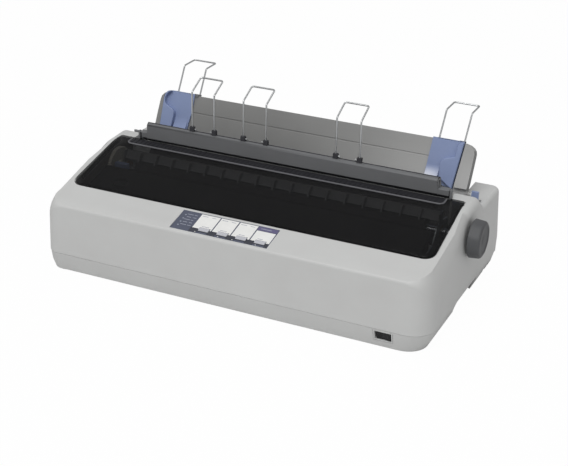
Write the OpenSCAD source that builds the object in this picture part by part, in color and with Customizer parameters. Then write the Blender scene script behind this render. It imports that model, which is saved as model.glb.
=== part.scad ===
// Wide-carriage dot matrix printer, in millimetres.
// X runs to the right, Y to the back and Z up. The origin is on the table,
// under the middle of the case.

/* [Case] */
// Width of the case
body_w = 535; // [520:1:560]
// Depth of the case
body_d = 284; // [280:1:296]
// Height of the front face, up to the ridge
front_h = 97; // [94:0.5:100]
// Slope of the top, in degrees
top_slope = 13.4; // [13:0.1:14]
// Distance from the front to the crest of the top
crest_back = 188; // [186:0.5:190]
// Height of the two shoulders behind the crest
shoulder_h = 116; // [114:0.5:116.5]
// Height of the sunk rear deck between the shoulders
deck_h = 94; // [88:1:98]
// Thickness of the case walls
wall = 2.6; // [2:0.1:3.2]
// Height of the seam between the two case halves
seam_h = 27; // [26:0.5:30]
// How far the foot of the front face leans in
front_lean = 10; // [6:1:12]
// How far the foot of each side tapers in
side_taper = 10; // [6:1:12]
// How far each side leans in from its widest line up to the crest
side_draft = 8.4; // [6:0.2:9]
// Height of the widest line of the sides
waist_h = 30; // [29:0.5:32]
// Corner radius at the front, seen from above
front_corner = 28; // [20:1:32]
// Corner radius at the back, seen from above
rear_corner = 12; // [8:1:16]
// Height of the case floor above the table
floor_z = 4; // [3.5:0.1:5]
// Thickness of the case floor
floor_t = 3; // [2.5:0.1:3.5]
// Radius of each rubber foot
foot_r = 9; // [7:0.5:11]
// Height of the hand recess under each side
hand_h = 23; // [20:0.5:23.5]
// Height of the small arch behind each hand recess
arch_h = 15; // [12:0.5:16]

/* [Printer cover] */
// Distance from each side of the case to the smoked cover
cover_side = 24; // [23.5:0.5:27]
// Distance from the case front to the front edge of the cover
cover_front = 47; // [46:0.5:50]
// Thickness of the cover
cover_t = 2.8; // [2.4:0.1:3]
// How far the cover stands proud of the slope
cover_proud = 2; // [1.8:0.1:2.4]
// Depth of the cover's side skirts under the slope
skirt_h = 4.6; // [4:0.1:5]
// Gap round the cover
cover_gap = 1; // [0.8:0.1:1.4]
// Corner radius of the cover
cover_corner = 15; // [10:1:18]
// Radius of the cover's hinge pins
cover_pin_r = 2.5; // [2:0.1:2.8]
// Distance from each end of the cover to the tear-off strip
tear_side = 18.5; // [16:0.5:22]
// Depth of the tear-off strip, along the slope
tear_d = 17; // [14:0.5:18]
// Height of the tear-off strip
tear_h = 1.6; // [1.2:0.1:1.8]

/* [Guide cover] */
// Distance from each side of the case to the upper part of the guide cover
bar_side = 57.5; // [56:0.5:62]
// Height of the guide cover
bar_h = 17.5; // [16:0.5:20]
// Depth of the guide cover, front to back
bar_d = 12.5; // [11.5:0.5:13]
// Wall thickness of the guide cover
bar_wall = 2.4; // [2:0.1:2.8]
// Height of the low ends of the guide cover
bar_end_h = 6; // [5.6:0.1:6.5]
// Radius of the guide cover's hinge pins
bar_pin_r = 1.8; // [1.5:0.1:2]

/* [Sheet guide] */
// How far the sheet guide reaches over each shoulder
guide_over = 9; // [8:0.5:10]
// Length of the sheet guide above its pivot
guide_h = 63; // [60:0.5:66]
// Thickness of the sheet guide
guide_t = 5; // [4.4:0.1:5.2]
// Lean of the sheet guide from upright, in degrees
guide_lean = 20.9; // [20:0.1:22]
// Distance of the sheet guide's pivot behind the middle of the case
guide_y = 88; // [86:0.5:92]
// Height of the sheet guide's pivot above the shoulders
guide_lift = 3.5; // [3.2:0.1:4.5]
// Radius of the sheet guide's pivot pins
guide_pin_r = 2.2; // [1.8:0.1:2.5]
// Radius of the upper corners of the sheet guide
guide_corner = 22; // [16:1:26]
// How far the rims at its two ends stand forward
guide_rim = 8; // [6:0.5:9]
// Width of the left edge guide
left_edge_w = 51; // [46:1:54]
// Width of the right edge guide
right_edge_w = 44; // [40:1:48]
// How far the edge guides stand in front of the sheet guide
edge_d = 11; // [9:0.5:12]
// Distance from the outer end of each edge guide to the end of the sheet guide
edge_stop = 11; // [8:1:14]

/* [Wire supports] */
// Radius of the wire
wire_r = 0.9; // [0.7:0.05:1.1]
// Width of the loops on the guide cover
loop_w = 33; // [30:0.5:36]
// Height of the upright legs on the guide cover
loop_h = 52; // [46:1:56]
// How far each loop bends back
loop_back = 25; // [20:1:28]
// How far each loop still rises over its bent part
loop_rise = 13; // [8:1:16]
// Places of the loops along the guide cover
loop_x = [-120.5, -44.5, 87.5];
// Width of the loops on the edge guides
edge_loop_w = 33; // [30:0.5:36]
// Length of wire that shows above the edge guides
edge_loop_h = 36; // [30:1:40]
// How far the loops on the edge guides bend back
edge_loop_back = 37; // [30:1:42]
// Length of wire inside the edge guides
edge_loop_in = 22; // [20:1:26]

/* [Platen] */
// Distance of the platen's axis behind the middle of the case
platen_y = 6; // [4:0.5:8]
// Height of the platen's axis
platen_z = 98.6; // [97.5:0.1:99.5]
// Radius of the rubber roller
platen_r = 15; // [14:0.1:15.5]
// Distance from each side frame to the rubber roller
platen_side = 18; // [16:0.5:24]
// Radius of the platen's steel shaft
shaft_r = 5; // [4:0.1:5.5]
// Radius of the paper feed knob
knob_r = 24.5; // [22:0.5:26]
// How far the knob stands out of the case
knob_out = 14; // [12:0.5:16]
// Gap between the knob and the case
knob_gap = 1; // [0.6:0.1:1.5]

/* [Gears] */
// Module of the gear teeth
gear_module = 1; // [1:0.01:1.02]
// Teeth on the platen gear
platen_teeth = 52; // [50:1:54]
// Teeth on the reduction gear
reduction_teeth = 36; // [35:1:37]
// Teeth on the motor pinion
pinion_teeth = 12; // [12:1:13]
// Teeth on the tractor gear
tractor_teeth = 29; // [28:1:30]
// Width of the gears
gear_w = 5; // [4:0.5:6]

/* [Tractor] */
// Radius of the round ends of the tractor shaft
tractor_shaft_r = 4; // [3.5:0.1:4.2]
// Distance from the tractor shaft to the support rod
rod_pitch = 32; // [30:0.5:34]
// Radius of the support rod
rod_r = 3; // [2.5:0.1:3.5]
// Radius of the pin wheels
wheel_r = 13; // [12:0.5:13.5]
// Width of the pin wheels
wheel_w = 7; // [6:0.5:8]
// Distance from each side frame to its tractor
tractor_side = 74; // [64:1:104]

/* [Carriage] */
// Distance of the guide rod in front of the platen's axis
rod_front = 48; // [46:0.5:50]
// Height of the guide rod below the platen's axis
rod_below = 27; // [26:0.5:28]
// Radius of the carriage guide rod
guide_rod_r = 6; // [5:0.1:6.5]
// Width of the carriage
carriage_w = 44; // [38:1:46]
// Distance from the left side frame to the carriage at rest
carriage_side = 74; // [69:1:84]
// Gap between the print head and the platen
head_gap = 1.3; // [1.2:0.1:1.6]
// Thickness of the inked ribbon
ribbon_t = 0.3; // [0.2:0.05:0.4]
// Height of the inked ribbon
ribbon_h = 13; // [10:0.5:14]
// Radius of the belt pulleys
pulley_r = 8; // [7:0.5:8.5]
// Thickness of the timing belt
belt_t = 1.2; // [1:0.1:1.4]
// Height of the timing belt
belt_h = 6; // [5:0.5:7]

/* [Frames] */
// Distance of each side frame inside the case wall
frame_inset = 43.5; // [43:0.5:44]
// Thickness of the steel side frames
frame_t = 2; // [1.6:0.1:2.4]
// Running clearance round shafts, on the radius
run_gap = 0.05; // [0.04:0.01:0.08]
// Clearance between moving parts that don't touch
part_gap = 0.4; // [0.3:0.05:0.5]

/* [Panel] */
// Width of the operation panel
panel_w = 133; // [130:1:136]
// Length of the operation panel, along the slope
panel_d = 38.5; // [36:0.5:39]
// Distance from the panel's front edge to the middle of the buttons
button_y = 8.5; // [8:0.5:10]
// Distance from the ridge to the panel, along the slope
panel_back = 5; // [4.5:0.1:6]
// Place of the panel's middle, from the middle of the case
panel_x = -11.5; // [-20:0.5:0]
// Thickness of the panel plate
panel_t = 0.8; // [0.6:0.1:1]
// Width of each button
button_w = 14; // [12:0.5:16]
// Length of each button, along the slope
button_d = 7; // [5:0.5:8]
// Height of each button above the panel
button_up = 1.2; // [1:0.1:1.4]
// Distance between the buttons
button_pitch = 25.5; // [24:0.5:26]

/* [Switch and sockets] */
// Width of the power switch
switch_w = 22; // [20:0.5:24]
// Height of the power switch
switch_h = 12.5; // [11:0.5:13]
// Place of the switch from the middle of the case
switch_x = 208; // [200:1:212]
// Width of the interface connector
connector_w = 55; // [50:1:60]
// Height of the interface connector
connector_h = 15; // [13:0.5:16]
// Width of the mains inlet
inlet_w = 27; // [26:0.5:29]
// Height of the mains inlet
inlet_h = 20; // [19:0.5:22]

/* [Hidden] */
$fn = 64;

// Colours
light_grey = "#c9c9c9";
mid_grey = "#7d7f80";
dark_grey = "#565859";
black = "#1d1d1f";
steel = "#b4b8bb";
blue = "#8390ae";

// The case, seen from the side: heights of the top at a distance y from the middle
front_y = -body_d / 2;
rear_y = body_d / 2;
crest_y = front_y + crest_back;
shoulder_y = crest_y + 20;
deck_y = crest_y + 54;
function slope_z(y) = front_h + (y - front_y) * tan(top_slope);
crest_z = slope_z(crest_y);
half_w = body_w / 2;

// The printer cover and its hinge
cover_w = body_w - 2 * cover_side;
tear_w = cover_w - 2 * tear_side;
cover_y = front_y + cover_front;
cover_end_y = crest_y - 23;
rim_x = cover_w / 2 + cover_gap;
rim_h = 12;
pin_y = cover_end_y - 3.5;
pin_z = slope_z(pin_y) + cover_proud - 5.4;

// The slot behind the cover, and the guide cover that fills its front
bar_w = body_w - 2 * bar_side;
bar_y = crest_y - 24.5;
bar_z = slope_z(cover_end_y) + cover_proud + tear_h + 1.2;
bar_end_w = bar_w / 2 + 12;
bar_pin_y = bar_y + 8;
bar_pin_z = bar_z + 3.2;
slot_x = bar_end_w + 5;
cheek_t = wall;
clamp_y = bar_y + bar_d - 2.8;
clamp_z = bar_z + bar_h;
clamp_w = 5;
clamp_h = 6;

// The sheet guide
guide_w = 2 * (slot_x + guide_over);
guide_z = shoulder_h + guide_lift;
left_edge_x = -guide_w / 2 + edge_stop;
right_edge_x = guide_w / 2 - edge_stop - 6;
edge_low = 9;
saddle_t = 3;
leg_y = guide_t / 2 + saddle_t / 2 + part_gap;
left_legs_x = left_edge_x + 28;
right_legs_x = right_edge_x - right_edge_w + 10.5;

// The side frames and the space between them
frame_x = half_w - frame_inset;
base_z = floor_z + floor_t;
stud_r = 3;

// The roller, the tractors and the carriage between the frames
platen_len = 2 * (frame_x - platen_side);
tractor_x = frame_x - tractor_side;
carriage_x = carriage_side - frame_x;

// The gear train: pinion, reduction gear, then platen gear and tractor gear
platen_gear_r = gear_module * platen_teeth / 2;
reduction_r = gear_module * reduction_teeth / 2;
pinion_r = gear_module * pinion_teeth / 2;
tractor_gear_r = gear_module * tractor_teeth / 2;
train_angle = -30.3;
pinion_angle = -127;
reduction_y = platen_y + (platen_gear_r + reduction_r) * cos(train_angle);
reduction_z = platen_z + (platen_gear_r + reduction_r) * sin(train_angle);
tractor_y = reduction_y + (reduction_r + tractor_gear_r) * cos(train_angle);
tractor_z = reduction_z + (reduction_r + tractor_gear_r) * sin(train_angle);
motor_y = reduction_y + (reduction_r + pinion_r) * cos(pinion_angle);
motor_z = reduction_z + (reduction_r + pinion_r) * sin(pinion_angle);
gear_x = -frame_x - 17.5;
rod_y = tractor_y + rod_pitch;

// The carriage and its belt
carriage_rod_y = platen_y - rod_front;
carriage_rod_z = platen_z - rod_below;
belt_x = frame_x - 24;
belt_y = carriage_rod_y - guide_rod_r - 12;
belt_z = carriage_rod_z - 18;
nose_y = platen_y - platen_r - head_gap;
rail_y = belt_y - pulley_r - 6;

// The ribbon cartridge
cartridge_y = cover_y + 4;
cartridge_z = 98;
cartridge_d = 40;

// The operation panel, on the slope
key_rest = 4.6;

// The small parts in the case walls
switch_z = 17.6;
switch_depth = 14;
connector_x = 150;
connector_z = 46;
inlet_x = -178;
inlet_z = 46;
screw_y = body_d / 2 - 13;
screw_r = 1.5;
head_r = 3.2;
front_screw_x = 170;
rear_screw_x = 222;
release_y = crest_y + 24;
release_z = 78;
release_x = slot_x + 20;

// Extrusions along X, of a shape drawn in Y and Z, and along Y, of one in X and Z
module along_x(x, len) {
    translate([x, 0, 0]) rotate([90, 0, 90]) linear_extrude(len) children();
}

module along_y(y, len) {
    translate([0, y + len, 0]) rotate([90, 0, 0]) linear_extrude(len) children();
}

// A block from corner a to corner b
module block(a, b) {
    translate(a) cube(b - a);
}

// Two of the child, one on each side of the middle
module both_sides() {
    children();
    mirror([1, 0, 0]) children();
}

// A round rod from point a to point b
module rod(a, b, r) {
    d = b - a;
    len = norm(d);
    translate(a)
        rotate([0, acos(d.z / len), atan2(d.y, d.x)])
            cylinder(h = len, r = r, $fn = 24);
}

// A bent wire through the points, with round elbows
module wire(points, r) {
    for (i = [0 : len(points) - 2]) rod(points[i], points[i + 1], r);
    for (i = [1 : len(points) - 2]) translate(points[i]) sphere(1.03 * r, $fn = 24);
}

// A rectangle with one radius at the front and another at the back
module rounded_plan(x, y0, y1, r0, r1) {
    difference() {
        translate([-x, y0]) square([2 * x, y1 - y0]);
        for (side = [-1, 1]) {
            translate([side * x, y0]) corner_waste(-side, 1, r0);
            translate([side * x, y1]) corner_waste(-side, -1, r1);
        }
    }
}

module corner_waste(sx, sy, r) {
    scale_x = sx > 0 ? 0 : 1;
    mirror([scale_x, 0]) mirror([0, sy > 0 ? 0 : 1]) difference() {
        translate([-1, -1]) square([r + 1, r + 1]);
        translate([r, r]) circle(r);
    }
}

// A straight strip of thickness t between two points of a drawing
module strip(a, b, t) {
    hull() {
        translate(a) circle(t / 2, $fn = 16);
        translate(b) circle(t / 2, $fn = 16);
    }
}

// A place on the slope: u along the slope from the ridge, w square to it
module on_slope(x, u, w) {
    translate([x, front_y, front_h]) rotate([top_slope, 0, 0]) translate([0, u, w]) children();
}

// The sheet guide's own axes: Z up along the guide, Y through its thickness
module on_guide() {
    translate([0, guide_y, guide_z]) rotate([-guide_lean, 0, 0]) children();
}

function from_guide(x, y, z) = [
    x,
    guide_y + y * cos(guide_lean) + z * sin(guide_lean),
    guide_z - y * sin(guide_lean) + z * cos(guide_lean)
];

// Outline of a spur gear with straight-sided teeth drawn on the involute's chords
function involute(base, t) = base * [cos(t) + t * PI / 180 * sin(t), sin(t) - t * PI / 180 * cos(t)];
function turn(p, a) = [p.x * cos(a) - p.y * sin(a), p.x * sin(a) + p.y * cos(a)];
function roll_at(base, r) = sqrt(max(0, (r / base) * (r / base) - 1)) * 180 / PI;

module gear_outline(teeth) {
    pitch_r = gear_module * teeth / 2;
    base = pitch_r * cos(20);
    tip = pitch_r + 0.92 * gear_module;
    root = pitch_r - 1.25 * gear_module;
    play = 0.16;
    half = 90 / teeth - play / pitch_r * 90 / PI;
    at_pitch = involute(base, roll_at(base, pitch_r));
    shift = half + atan2(at_pitch.y, at_pitch.x);
    first = max(base, root);
    flank = [for (i = [0 : 3]) involute(base, roll_at(base, first + (tip - first) * i / 3))];
    points = [for (k = [0 : teeth - 1]) let (mid = 360 * k / teeth) each concat(
        [turn([root, 0], mid - shift - 0.5)],
        [for (p = flank) turn(p, mid - shift)],
        [for (i = [3 : -1 : 0]) turn([flank[i].x, -flank[i].y], mid + shift)],
        [turn([root, 0], mid + shift + 0.5)]
    )];
    polygon(points);
}

// Where the first tooth of a gear b points, so that it meshes with gear a at the angle way
function mesh_phase(teeth_a, phase_a, teeth_b, way) =
    way + 180 - 360 / teeth_b * (0.5 - (way - phase_a) * teeth_a / 360);
reduction_phase = mesh_phase(platen_teeth, 0, reduction_teeth, train_angle);
tractor_phase = mesh_phase(reduction_teeth, reduction_phase, tractor_teeth, train_angle);
pinion_phase = mesh_phase(reduction_teeth, reduction_phase, pinion_teeth, pinion_angle);

// A gear on the train's plane, with a hub and a bore
module train_gear(y, z, teeth, phase, bore, hub) {
    difference() {
        union() {
            along_x(gear_x, gear_w) translate([y, z]) rotate(phase) gear_outline(teeth);
            along_x(gear_x, gear_w + 3) translate([y, z]) circle(hub);
        }
        along_x(gear_x - 1, gear_w + 5) translate([y, z]) circle(bore);
    }
}

// Plan of the case, and its side view above the height low, both shrunk by d
module case_plan(d) {
    rounded_plan(half_w - d, front_y + d, rear_y - d, front_corner - d, rear_corner - d);
}

// Outline of the case from the front: tapered at the foot, drafted above its widest line
module case_end(d) {
    offset(delta = -d) polygon([
        [-half_w + side_taper, -10], [-half_w + side_taper, 0], [-half_w + side_taper / 2, 11],
        [-half_w, waist_h], [-half_w + side_draft, crest_z + 1], [half_w - side_draft, crest_z + 1],
        [half_w, waist_h], [half_w - side_taper / 2, 11], [half_w - side_taper, 0], [half_w - side_taper, -10]
    ]);
}

module case_side(d, low) {
    seam_y = front_y + 0.3 * front_lean;
    offset(delta = -d) polygon([
        [seam_y, low], [seam_y, seam_h], [front_y, front_h], [crest_y, crest_z],
        [shoulder_y, shoulder_h], [rear_y, shoulder_h], [rear_y, low]
    ]);
}

// What stays standing inside the upper case: rims, cheeks and the sunk deck
module inner_walls() {
    rim_y0 = cover_y - cover_gap - wall;
    both_sides() {
        along_x(rim_x, wall) polygon([
            [rim_y0, slope_z(rim_y0) - rim_h], [crest_y, slope_z(crest_y) - rim_h],
            [crest_y, slope_z(crest_y)], [rim_y0, slope_z(rim_y0)]
        ]);
        block([slot_x, cover_end_y + cover_gap + 3, deck_h - wall], [slot_x + cheek_t, rear_y, crest_z]);
    }
    block([-rim_x, rim_y0, slope_z(rim_y0) - rim_h], [rim_x, cover_y - cover_gap, front_h + 30]);
    block([-slot_x, deck_y, deck_h - wall], [slot_x, rear_y, crest_z]);
}

// Ears for the pins: the sheet guide's on the shoulders, the guide cover's on the cheeks
module guide_ears() {
    both_sides() {
        along_x(slot_x, cheek_t) translate([bar_pin_y, bar_pin_z]) circle(bar_pin_r + 1.8);
        block([slot_x, bar_pin_y - bar_pin_r, crest_z - 12],
              [slot_x + cheek_t, bar_pin_y + bar_pin_r + 1.8, bar_pin_z]);
    }
    both_sides() difference() {
        union() {
            along_x(guide_w / 2 + 0.6, 5) translate([guide_y, guide_z]) circle(guide_pin_r + 1.6);
            block([guide_w / 2 + 0.6, guide_y - guide_pin_r - 1.6, shoulder_h - wall],
                  [guide_w / 2 + 5.6, guide_y + guide_pin_r + 1.6, guide_z]);
        }
        along_x(guide_w / 2, 7) translate([guide_y, guide_z]) circle(guide_pin_r + run_gap);
    }
}

// The holes for the four buttons, with a gap round each
module button_places(gap, w0, w1) {
    for (i = [0 : 3])
        on_slope(panel_x + (i - 0.9) * button_pitch, panel_back + button_y, 0)
            block([-button_w / 2 - gap, -button_d / 2 - gap, w0],
                  [button_w / 2 + gap, button_d / 2 + gap, w1]);
}

module light_places(r, w0, w1) {
    for (i = [0 : 3])
        on_slope(panel_x - panel_w / 2 + 7, panel_back + 9 + 7 * i, w0)
            cylinder(h = w1 - w0, r = r, $fn = 24);
}

module upper_case() {
    color(light_grey) difference() {
        union() {
            difference() {
                intersection() {
                    translate([0, 0, seam_h]) linear_extrude(crest_z) case_plan(0);
                    along_x(-half_w, body_w) case_side(0, seam_h);
                    along_y(front_y, body_d) case_end(0);
                }
                difference() {
                    intersection() {
                        linear_extrude(crest_z + 10) case_plan(wall);
                        along_x(-half_w, body_w) case_side(wall, -20);
                        along_y(front_y, body_d) case_end(wall);
                    }
                    inner_walls();
                }
                // opening for the cover
                translate([0, 0, seam_h + 40]) linear_extrude(crest_z)
                    rounded_plan(rim_x, cover_y - cover_gap, cover_end_y + cover_gap + 3, cover_corner, 1);
                // slot behind it, and the sunk deck
                block([-slot_x, cover_end_y, seam_h + 40], [slot_x, deck_y, crest_z + 5]);
                block([-slot_x, deck_y - 1, deck_h], [slot_x, rear_y + 1, crest_z + 5]);
            }
            guide_ears();
            // screw bosses on the front and back walls
            both_sides() {
                for (end = [-1, 1]) {
                    x = end < 0 ? front_screw_x : rear_screw_x;
                    translate([x, end * screw_y, seam_h]) cylinder(h = 18, r = 4.5);
                    wall_y = end < 0 ? front_y + 0.3 * front_lean + 1 : rear_y - 1;
                    block([x - 1.5, min(end * screw_y, wall_y), seam_h],
                          [x + 1.5, max(end * screw_y, wall_y), seam_h + 18]);
                }
            }
            // posts that carry the panel board
            for (x = [panel_x - 54, panel_x + 60], u = [panel_back + 18, panel_back + panel_d - 6])
                on_slope(x, u, -8) cylinder(h = 7.4, r = 2.5);
        }
        // the recess for the operation panel, its keys and its lights
        on_slope(panel_x, panel_back, -0.6)
            block([-panel_w / 2 - 0.2, -0.2, 0], [panel_w / 2 + 0.2, panel_d + 0.2, 5]);
        button_places(0.5, -wall - 1, 2);
        light_places(1.3, -wall - 1, 2);
        // shaft of the platen, pins of the cover and of the guide cover
        along_x(half_w - 10, 20) translate([platen_y, platen_z]) circle(shaft_r + 1.2);
        both_sides() {
            along_x(rim_x - 1, wall + 2) translate([pin_y, pin_z]) circle(cover_pin_r + run_gap);
            along_x(slot_x - 1, cheek_t + 2) translate([bar_pin_y, bar_pin_z]) circle(bar_pin_r + run_gap);
            translate([front_screw_x, -screw_y, 0]) cylinder(h = 60, r = screw_r);
            translate([rear_screw_x, screw_y, 0]) cylinder(h = 60, r = screw_r);
        }
        // slot of the release lever
        block([release_x - 5.5, release_y - 9, shoulder_h - 6], [release_x + 5.5, release_y + 13, crest_z]);
        // sockets and the paper slot in the back wall
        along_y(rear_y - wall - 1, wall + 2) {
            translate([connector_x, connector_z]) square([connector_w, connector_h], center = true);
            translate([inlet_x, inlet_z]) square([inlet_w, inlet_h], center = true);
            translate([0, 80]) square([platen_len, 9], center = true);
        }
    }
}

// The outside of the lower case between two heights, shrunk by d
module lower_block(d, z0, z1) {
    intersection() {
        translate([0, 0, z0]) linear_extrude(z1 - z0) case_plan(d);
        along_x(-half_w, body_w) offset(delta = -d) polygon([
            [front_y + front_lean, -10], [front_y + front_lean, 0], [front_y + 0.3 * front_lean, seam_h],
            [front_y + 0.3 * front_lean, 60], [rear_y, 60], [rear_y, -10]
        ]);
        along_y(front_y, body_d) case_end(d);
    }
}

// The hand recess and the small arch behind it, in both sides
module side_arches(grow) {
    both_sides() {
        side_arch(grow, -30, 58, hand_h);
        side_arch(grow, 92, 122, arch_h);
    }
}

module side_arch(grow, y0, y1, h) {
    along_x(half_w - 30 - grow, 31 + grow) offset(r = 8) offset(delta = -8)
        translate([y0 - grow, -12]) square([y1 - y0 + 2 * grow, h + 12 + grow]);
}

// The box that the power switch fills in the front wall
module switch_box(grow, y0, y1) {
    block([switch_x - switch_w / 2 - grow, y0, switch_z - switch_h / 2 - grow],
          [switch_x + switch_w / 2 + grow, y1, switch_z + switch_h / 2 + grow]);
}

module lower_case() {
    skirt_z = 1.5;
    color(light_grey) difference() {
        union() {
            difference() {
                lower_block(0, skirt_z, seam_h);
                difference() {
                    lower_block(wall, base_z, seam_h + 1);
                    side_arches(wall);
                }
                lower_block(wall, 0, floor_z);
                side_arches(0);
            }
            both_sides() {
                translate([front_screw_x, -screw_y, floor_z]) cylinder(h = seam_h - floor_z, r = 5);
                translate([rear_screw_x, screw_y, floor_z]) cylinder(h = seam_h - floor_z, r = 5);
            }
            for (x = [-50, frame_x - 29], y = [-24, 54]) translate([x, y, floor_z]) cylinder(h = 9, r = 3);
        }
        both_sides() for (p = [[front_screw_x, -screw_y], [rear_screw_x, screw_y]]) {
            translate([p.x, p.y, 0]) cylinder(h = floor_z, r = head_r + 0.3);
            translate([p.x, p.y, 0]) cylinder(h = 60, r = screw_r + 0.2);
        }
        switch_box(1.5, front_y, front_y + 0.3 * front_lean + wall + 8);
    }
}

module rubber_feet() {
    color(black) {
        both_sides() for (y = [front_y + 32, rear_y - 36])
            translate([half_w - 52, y, 0]) cylinder(h = floor_z, r = foot_r);
        cylinder(h = floor_z, r = foot_r);
    }
}

module case_screws() {
    color(steel) both_sides() {
        for (p = [[front_screw_x, -screw_y], [rear_screw_x, screw_y]]) translate([p.x, p.y, 0]) {
            translate([0, 0, floor_z - 2.2]) cylinder(h = 2.2, r = head_r);
            translate([0, 0, floor_z]) cylinder(h = seam_h + 12 - floor_z, r = screw_r);
        }
        for (y = [-60, 90]) translate([frame_x - 8, y, base_z + frame_t]) cylinder(h = 2.2, r = head_r);
    }
}

module operation_panel() {
    color("#4b5060") difference() {
        on_slope(panel_x, panel_back, -0.6) block([-panel_w / 2, 0, 0], [panel_w / 2, panel_d, panel_t]);
        button_places(part_gap, -2, 2);
        light_places(1.3, -2, 2);
    }
}

module indicator_lights() {
    color("#7fd37f") light_places(1.1, -8, 0.3);
}

module panel_board() {
    color("#2f6b3c") difference() {
        union() {
            on_slope(panel_x, panel_back, -9.6) block([-64, 0, 0], [64, panel_d - 3, 1.6]);
            for (i = [0 : 3]) on_slope(panel_x + (i - 0.9) * button_pitch, panel_back + button_y, -8.1)
                block([-3, -3, 0], [3, 3, 8.1 - key_rest - 1]);
        }
    }
}

module button(i) {
    color("#b9bcc0") on_slope(panel_x + (i - 0.9) * button_pitch, panel_back + button_y, 0)
        block([-button_w / 2, -button_d / 2, -key_rest], [button_w / 2, button_d / 2, button_up]);
}

module switch_housing() {
    face = front_y + 0.65 * front_lean;
    color("#2a2a2c") difference() {
        switch_box(1.5, face - 0.5, face + switch_depth);
        switch_box(0, face - 2, face + 11);
        translate([switch_x, face + 6.5, switch_z - switch_h / 2 - 1])
            cylinder(h = switch_h + 2, r = 1.2 + run_gap);
    }
}

module power_rocker() {
    face = front_y + 0.65 * front_lean;
    half = switch_w / 2 - 1.2;
    color(black) translate([switch_x, face + 6.5, switch_z]) {
        rotate(7) translate([0, 0, -switch_h / 2 + part_gap])
            linear_extrude(switch_h - 2 * part_gap) polygon([
                [-half, -6.2], [0, -5], [half, -6.2], [half, -1.5], [3, 2.5], [-3, 2.5], [-half, -1.5]
            ]);
        translate([0, 0, -switch_h / 2 - 0.9]) cylinder(h = switch_h + 1.8, r = 1.2);
    }
}

module interface_connector() {
    color("#22252a") difference() {
        translate([connector_x, rear_y - 9, connector_z]) cube([connector_w, 18, connector_h], center = true);
        translate([connector_x, rear_y, connector_z])
            cube([connector_w - 8, 10, connector_h - 6], center = true);
    }
}

module mains_inlet() {
    color("#222224") {
        difference() {
            translate([inlet_x, rear_y - 11, inlet_z]) cube([inlet_w, 22, inlet_h], center = true);
            translate([inlet_x, rear_y - 5, inlet_z]) cube([inlet_w - 5, 22, inlet_h - 5], center = true);
        }
        for (x = [-7, 0, 7]) translate([inlet_x + x, rear_y - 11, inlet_z]) cube([2, 10.1, 4], center = true);
    }
}

module main_board() {
    end_x = frame_x - 22;
    color("#2f6b3c") block([-56, -30, floor_z + 9], [end_x, 60, floor_z + 10.6]);
    color(black) {
        block([-20, -10, floor_z + 10.6], [20, 30, floor_z + 14]);
        block([50, 0, floor_z + 10.6], [78, 16, floor_z + 14]);
        block([100, 0, floor_z + 10.6], [128, 16, floor_z + 14]);
    }
    color(steel) block([end_x - 62, -24, floor_z + 10.6], [end_x - 12, -12, floor_z + 30]);
    color("#30507a") for (x = [60, 84, 108]) translate([x, 44, floor_z + 10.6]) cylinder(h = 16, r = 7);
}

module power_supply() {
    x0 = 24 - frame_x;
    color("#8a7f52") block([x0, 66, base_z], [x0 + 100, 118, base_z + 3]);
    color("#c8a648") block([x0 + 10, 72, base_z + 3], [x0 + 50, 108, base_z + 32]);
    color("#30507a") translate([x0 + 70, 90, base_z + 3]) cylinder(h = 24, r = 11);
}

// Outline and holes that both side frames share, drawn in Y and Z
module frame_outline() {
    difference() {
        polygon([
            [-80, base_z], [-80, 60], [cartridge_y + 16, cartridge_z],
            [cartridge_y + cartridge_d - 4, cartridge_z], [cartridge_y + cartridge_d, 90],
            [-24, 92], [-12, 110], [platen_y - 8, 112],
            [platen_y - 8, 125], [platen_y + 5, 125], [platen_y + 5, 112], [platen_y + 22, 110],
            [platen_y + 34, 96], [rod_y + 10, 84], [rod_y + 12, base_z]
        ]);
        translate([platen_y, platen_z]) circle(shaft_r + 3);
        translate([carriage_rod_y, carriage_rod_z]) circle(guide_rod_r);
        translate([tractor_y, tractor_z]) circle(tractor_shaft_r + 2.5);
        translate([rod_y, tractor_z]) circle(rod_r);
    }
}

module motor_bracket() {
    block([-frame_x, belt_y - 19, belt_z - 8], [-belt_x + 22, belt_y + 18, belt_z - 6]);
}

module left_side_frame() {
    color(steel) difference() {
        union() {
            along_x(-frame_x - frame_t, frame_t) frame_outline();
            block([-frame_x - 0.1, -74, base_z], [-frame_x + 16, rod_y + 4, base_z + frame_t]);
            motor_bracket();
            along_x(gear_x - 2, -frame_x - gear_x + 1) translate([reduction_y, reduction_z]) circle(stud_r);
        }
        along_x(-frame_x - 5, 10) translate([motor_y, motor_z]) circle(pinion_r + 2);
        translate([-belt_x, belt_y, belt_z - 10]) cylinder(h = 6, r = 6);
    }
}

module right_side_frame() {
    color(steel) {
        along_x(frame_x, frame_t) frame_outline();
        block([frame_x - 16, -74, base_z], [frame_x + 0.1, rod_y + 4, base_z + frame_t]);
        block([belt_x - 12, belt_y - 10, belt_z - 8], [frame_x + 0.1, belt_y + 10, belt_z - 6]);
        translate([belt_x, belt_y, belt_z - 7]) cylinder(h = belt_h + 9, r = 2.5);
        along_x(frame_x + 1, release_x + 6 - frame_x) translate([release_y, release_z]) circle(stud_r);
    }
}

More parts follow.
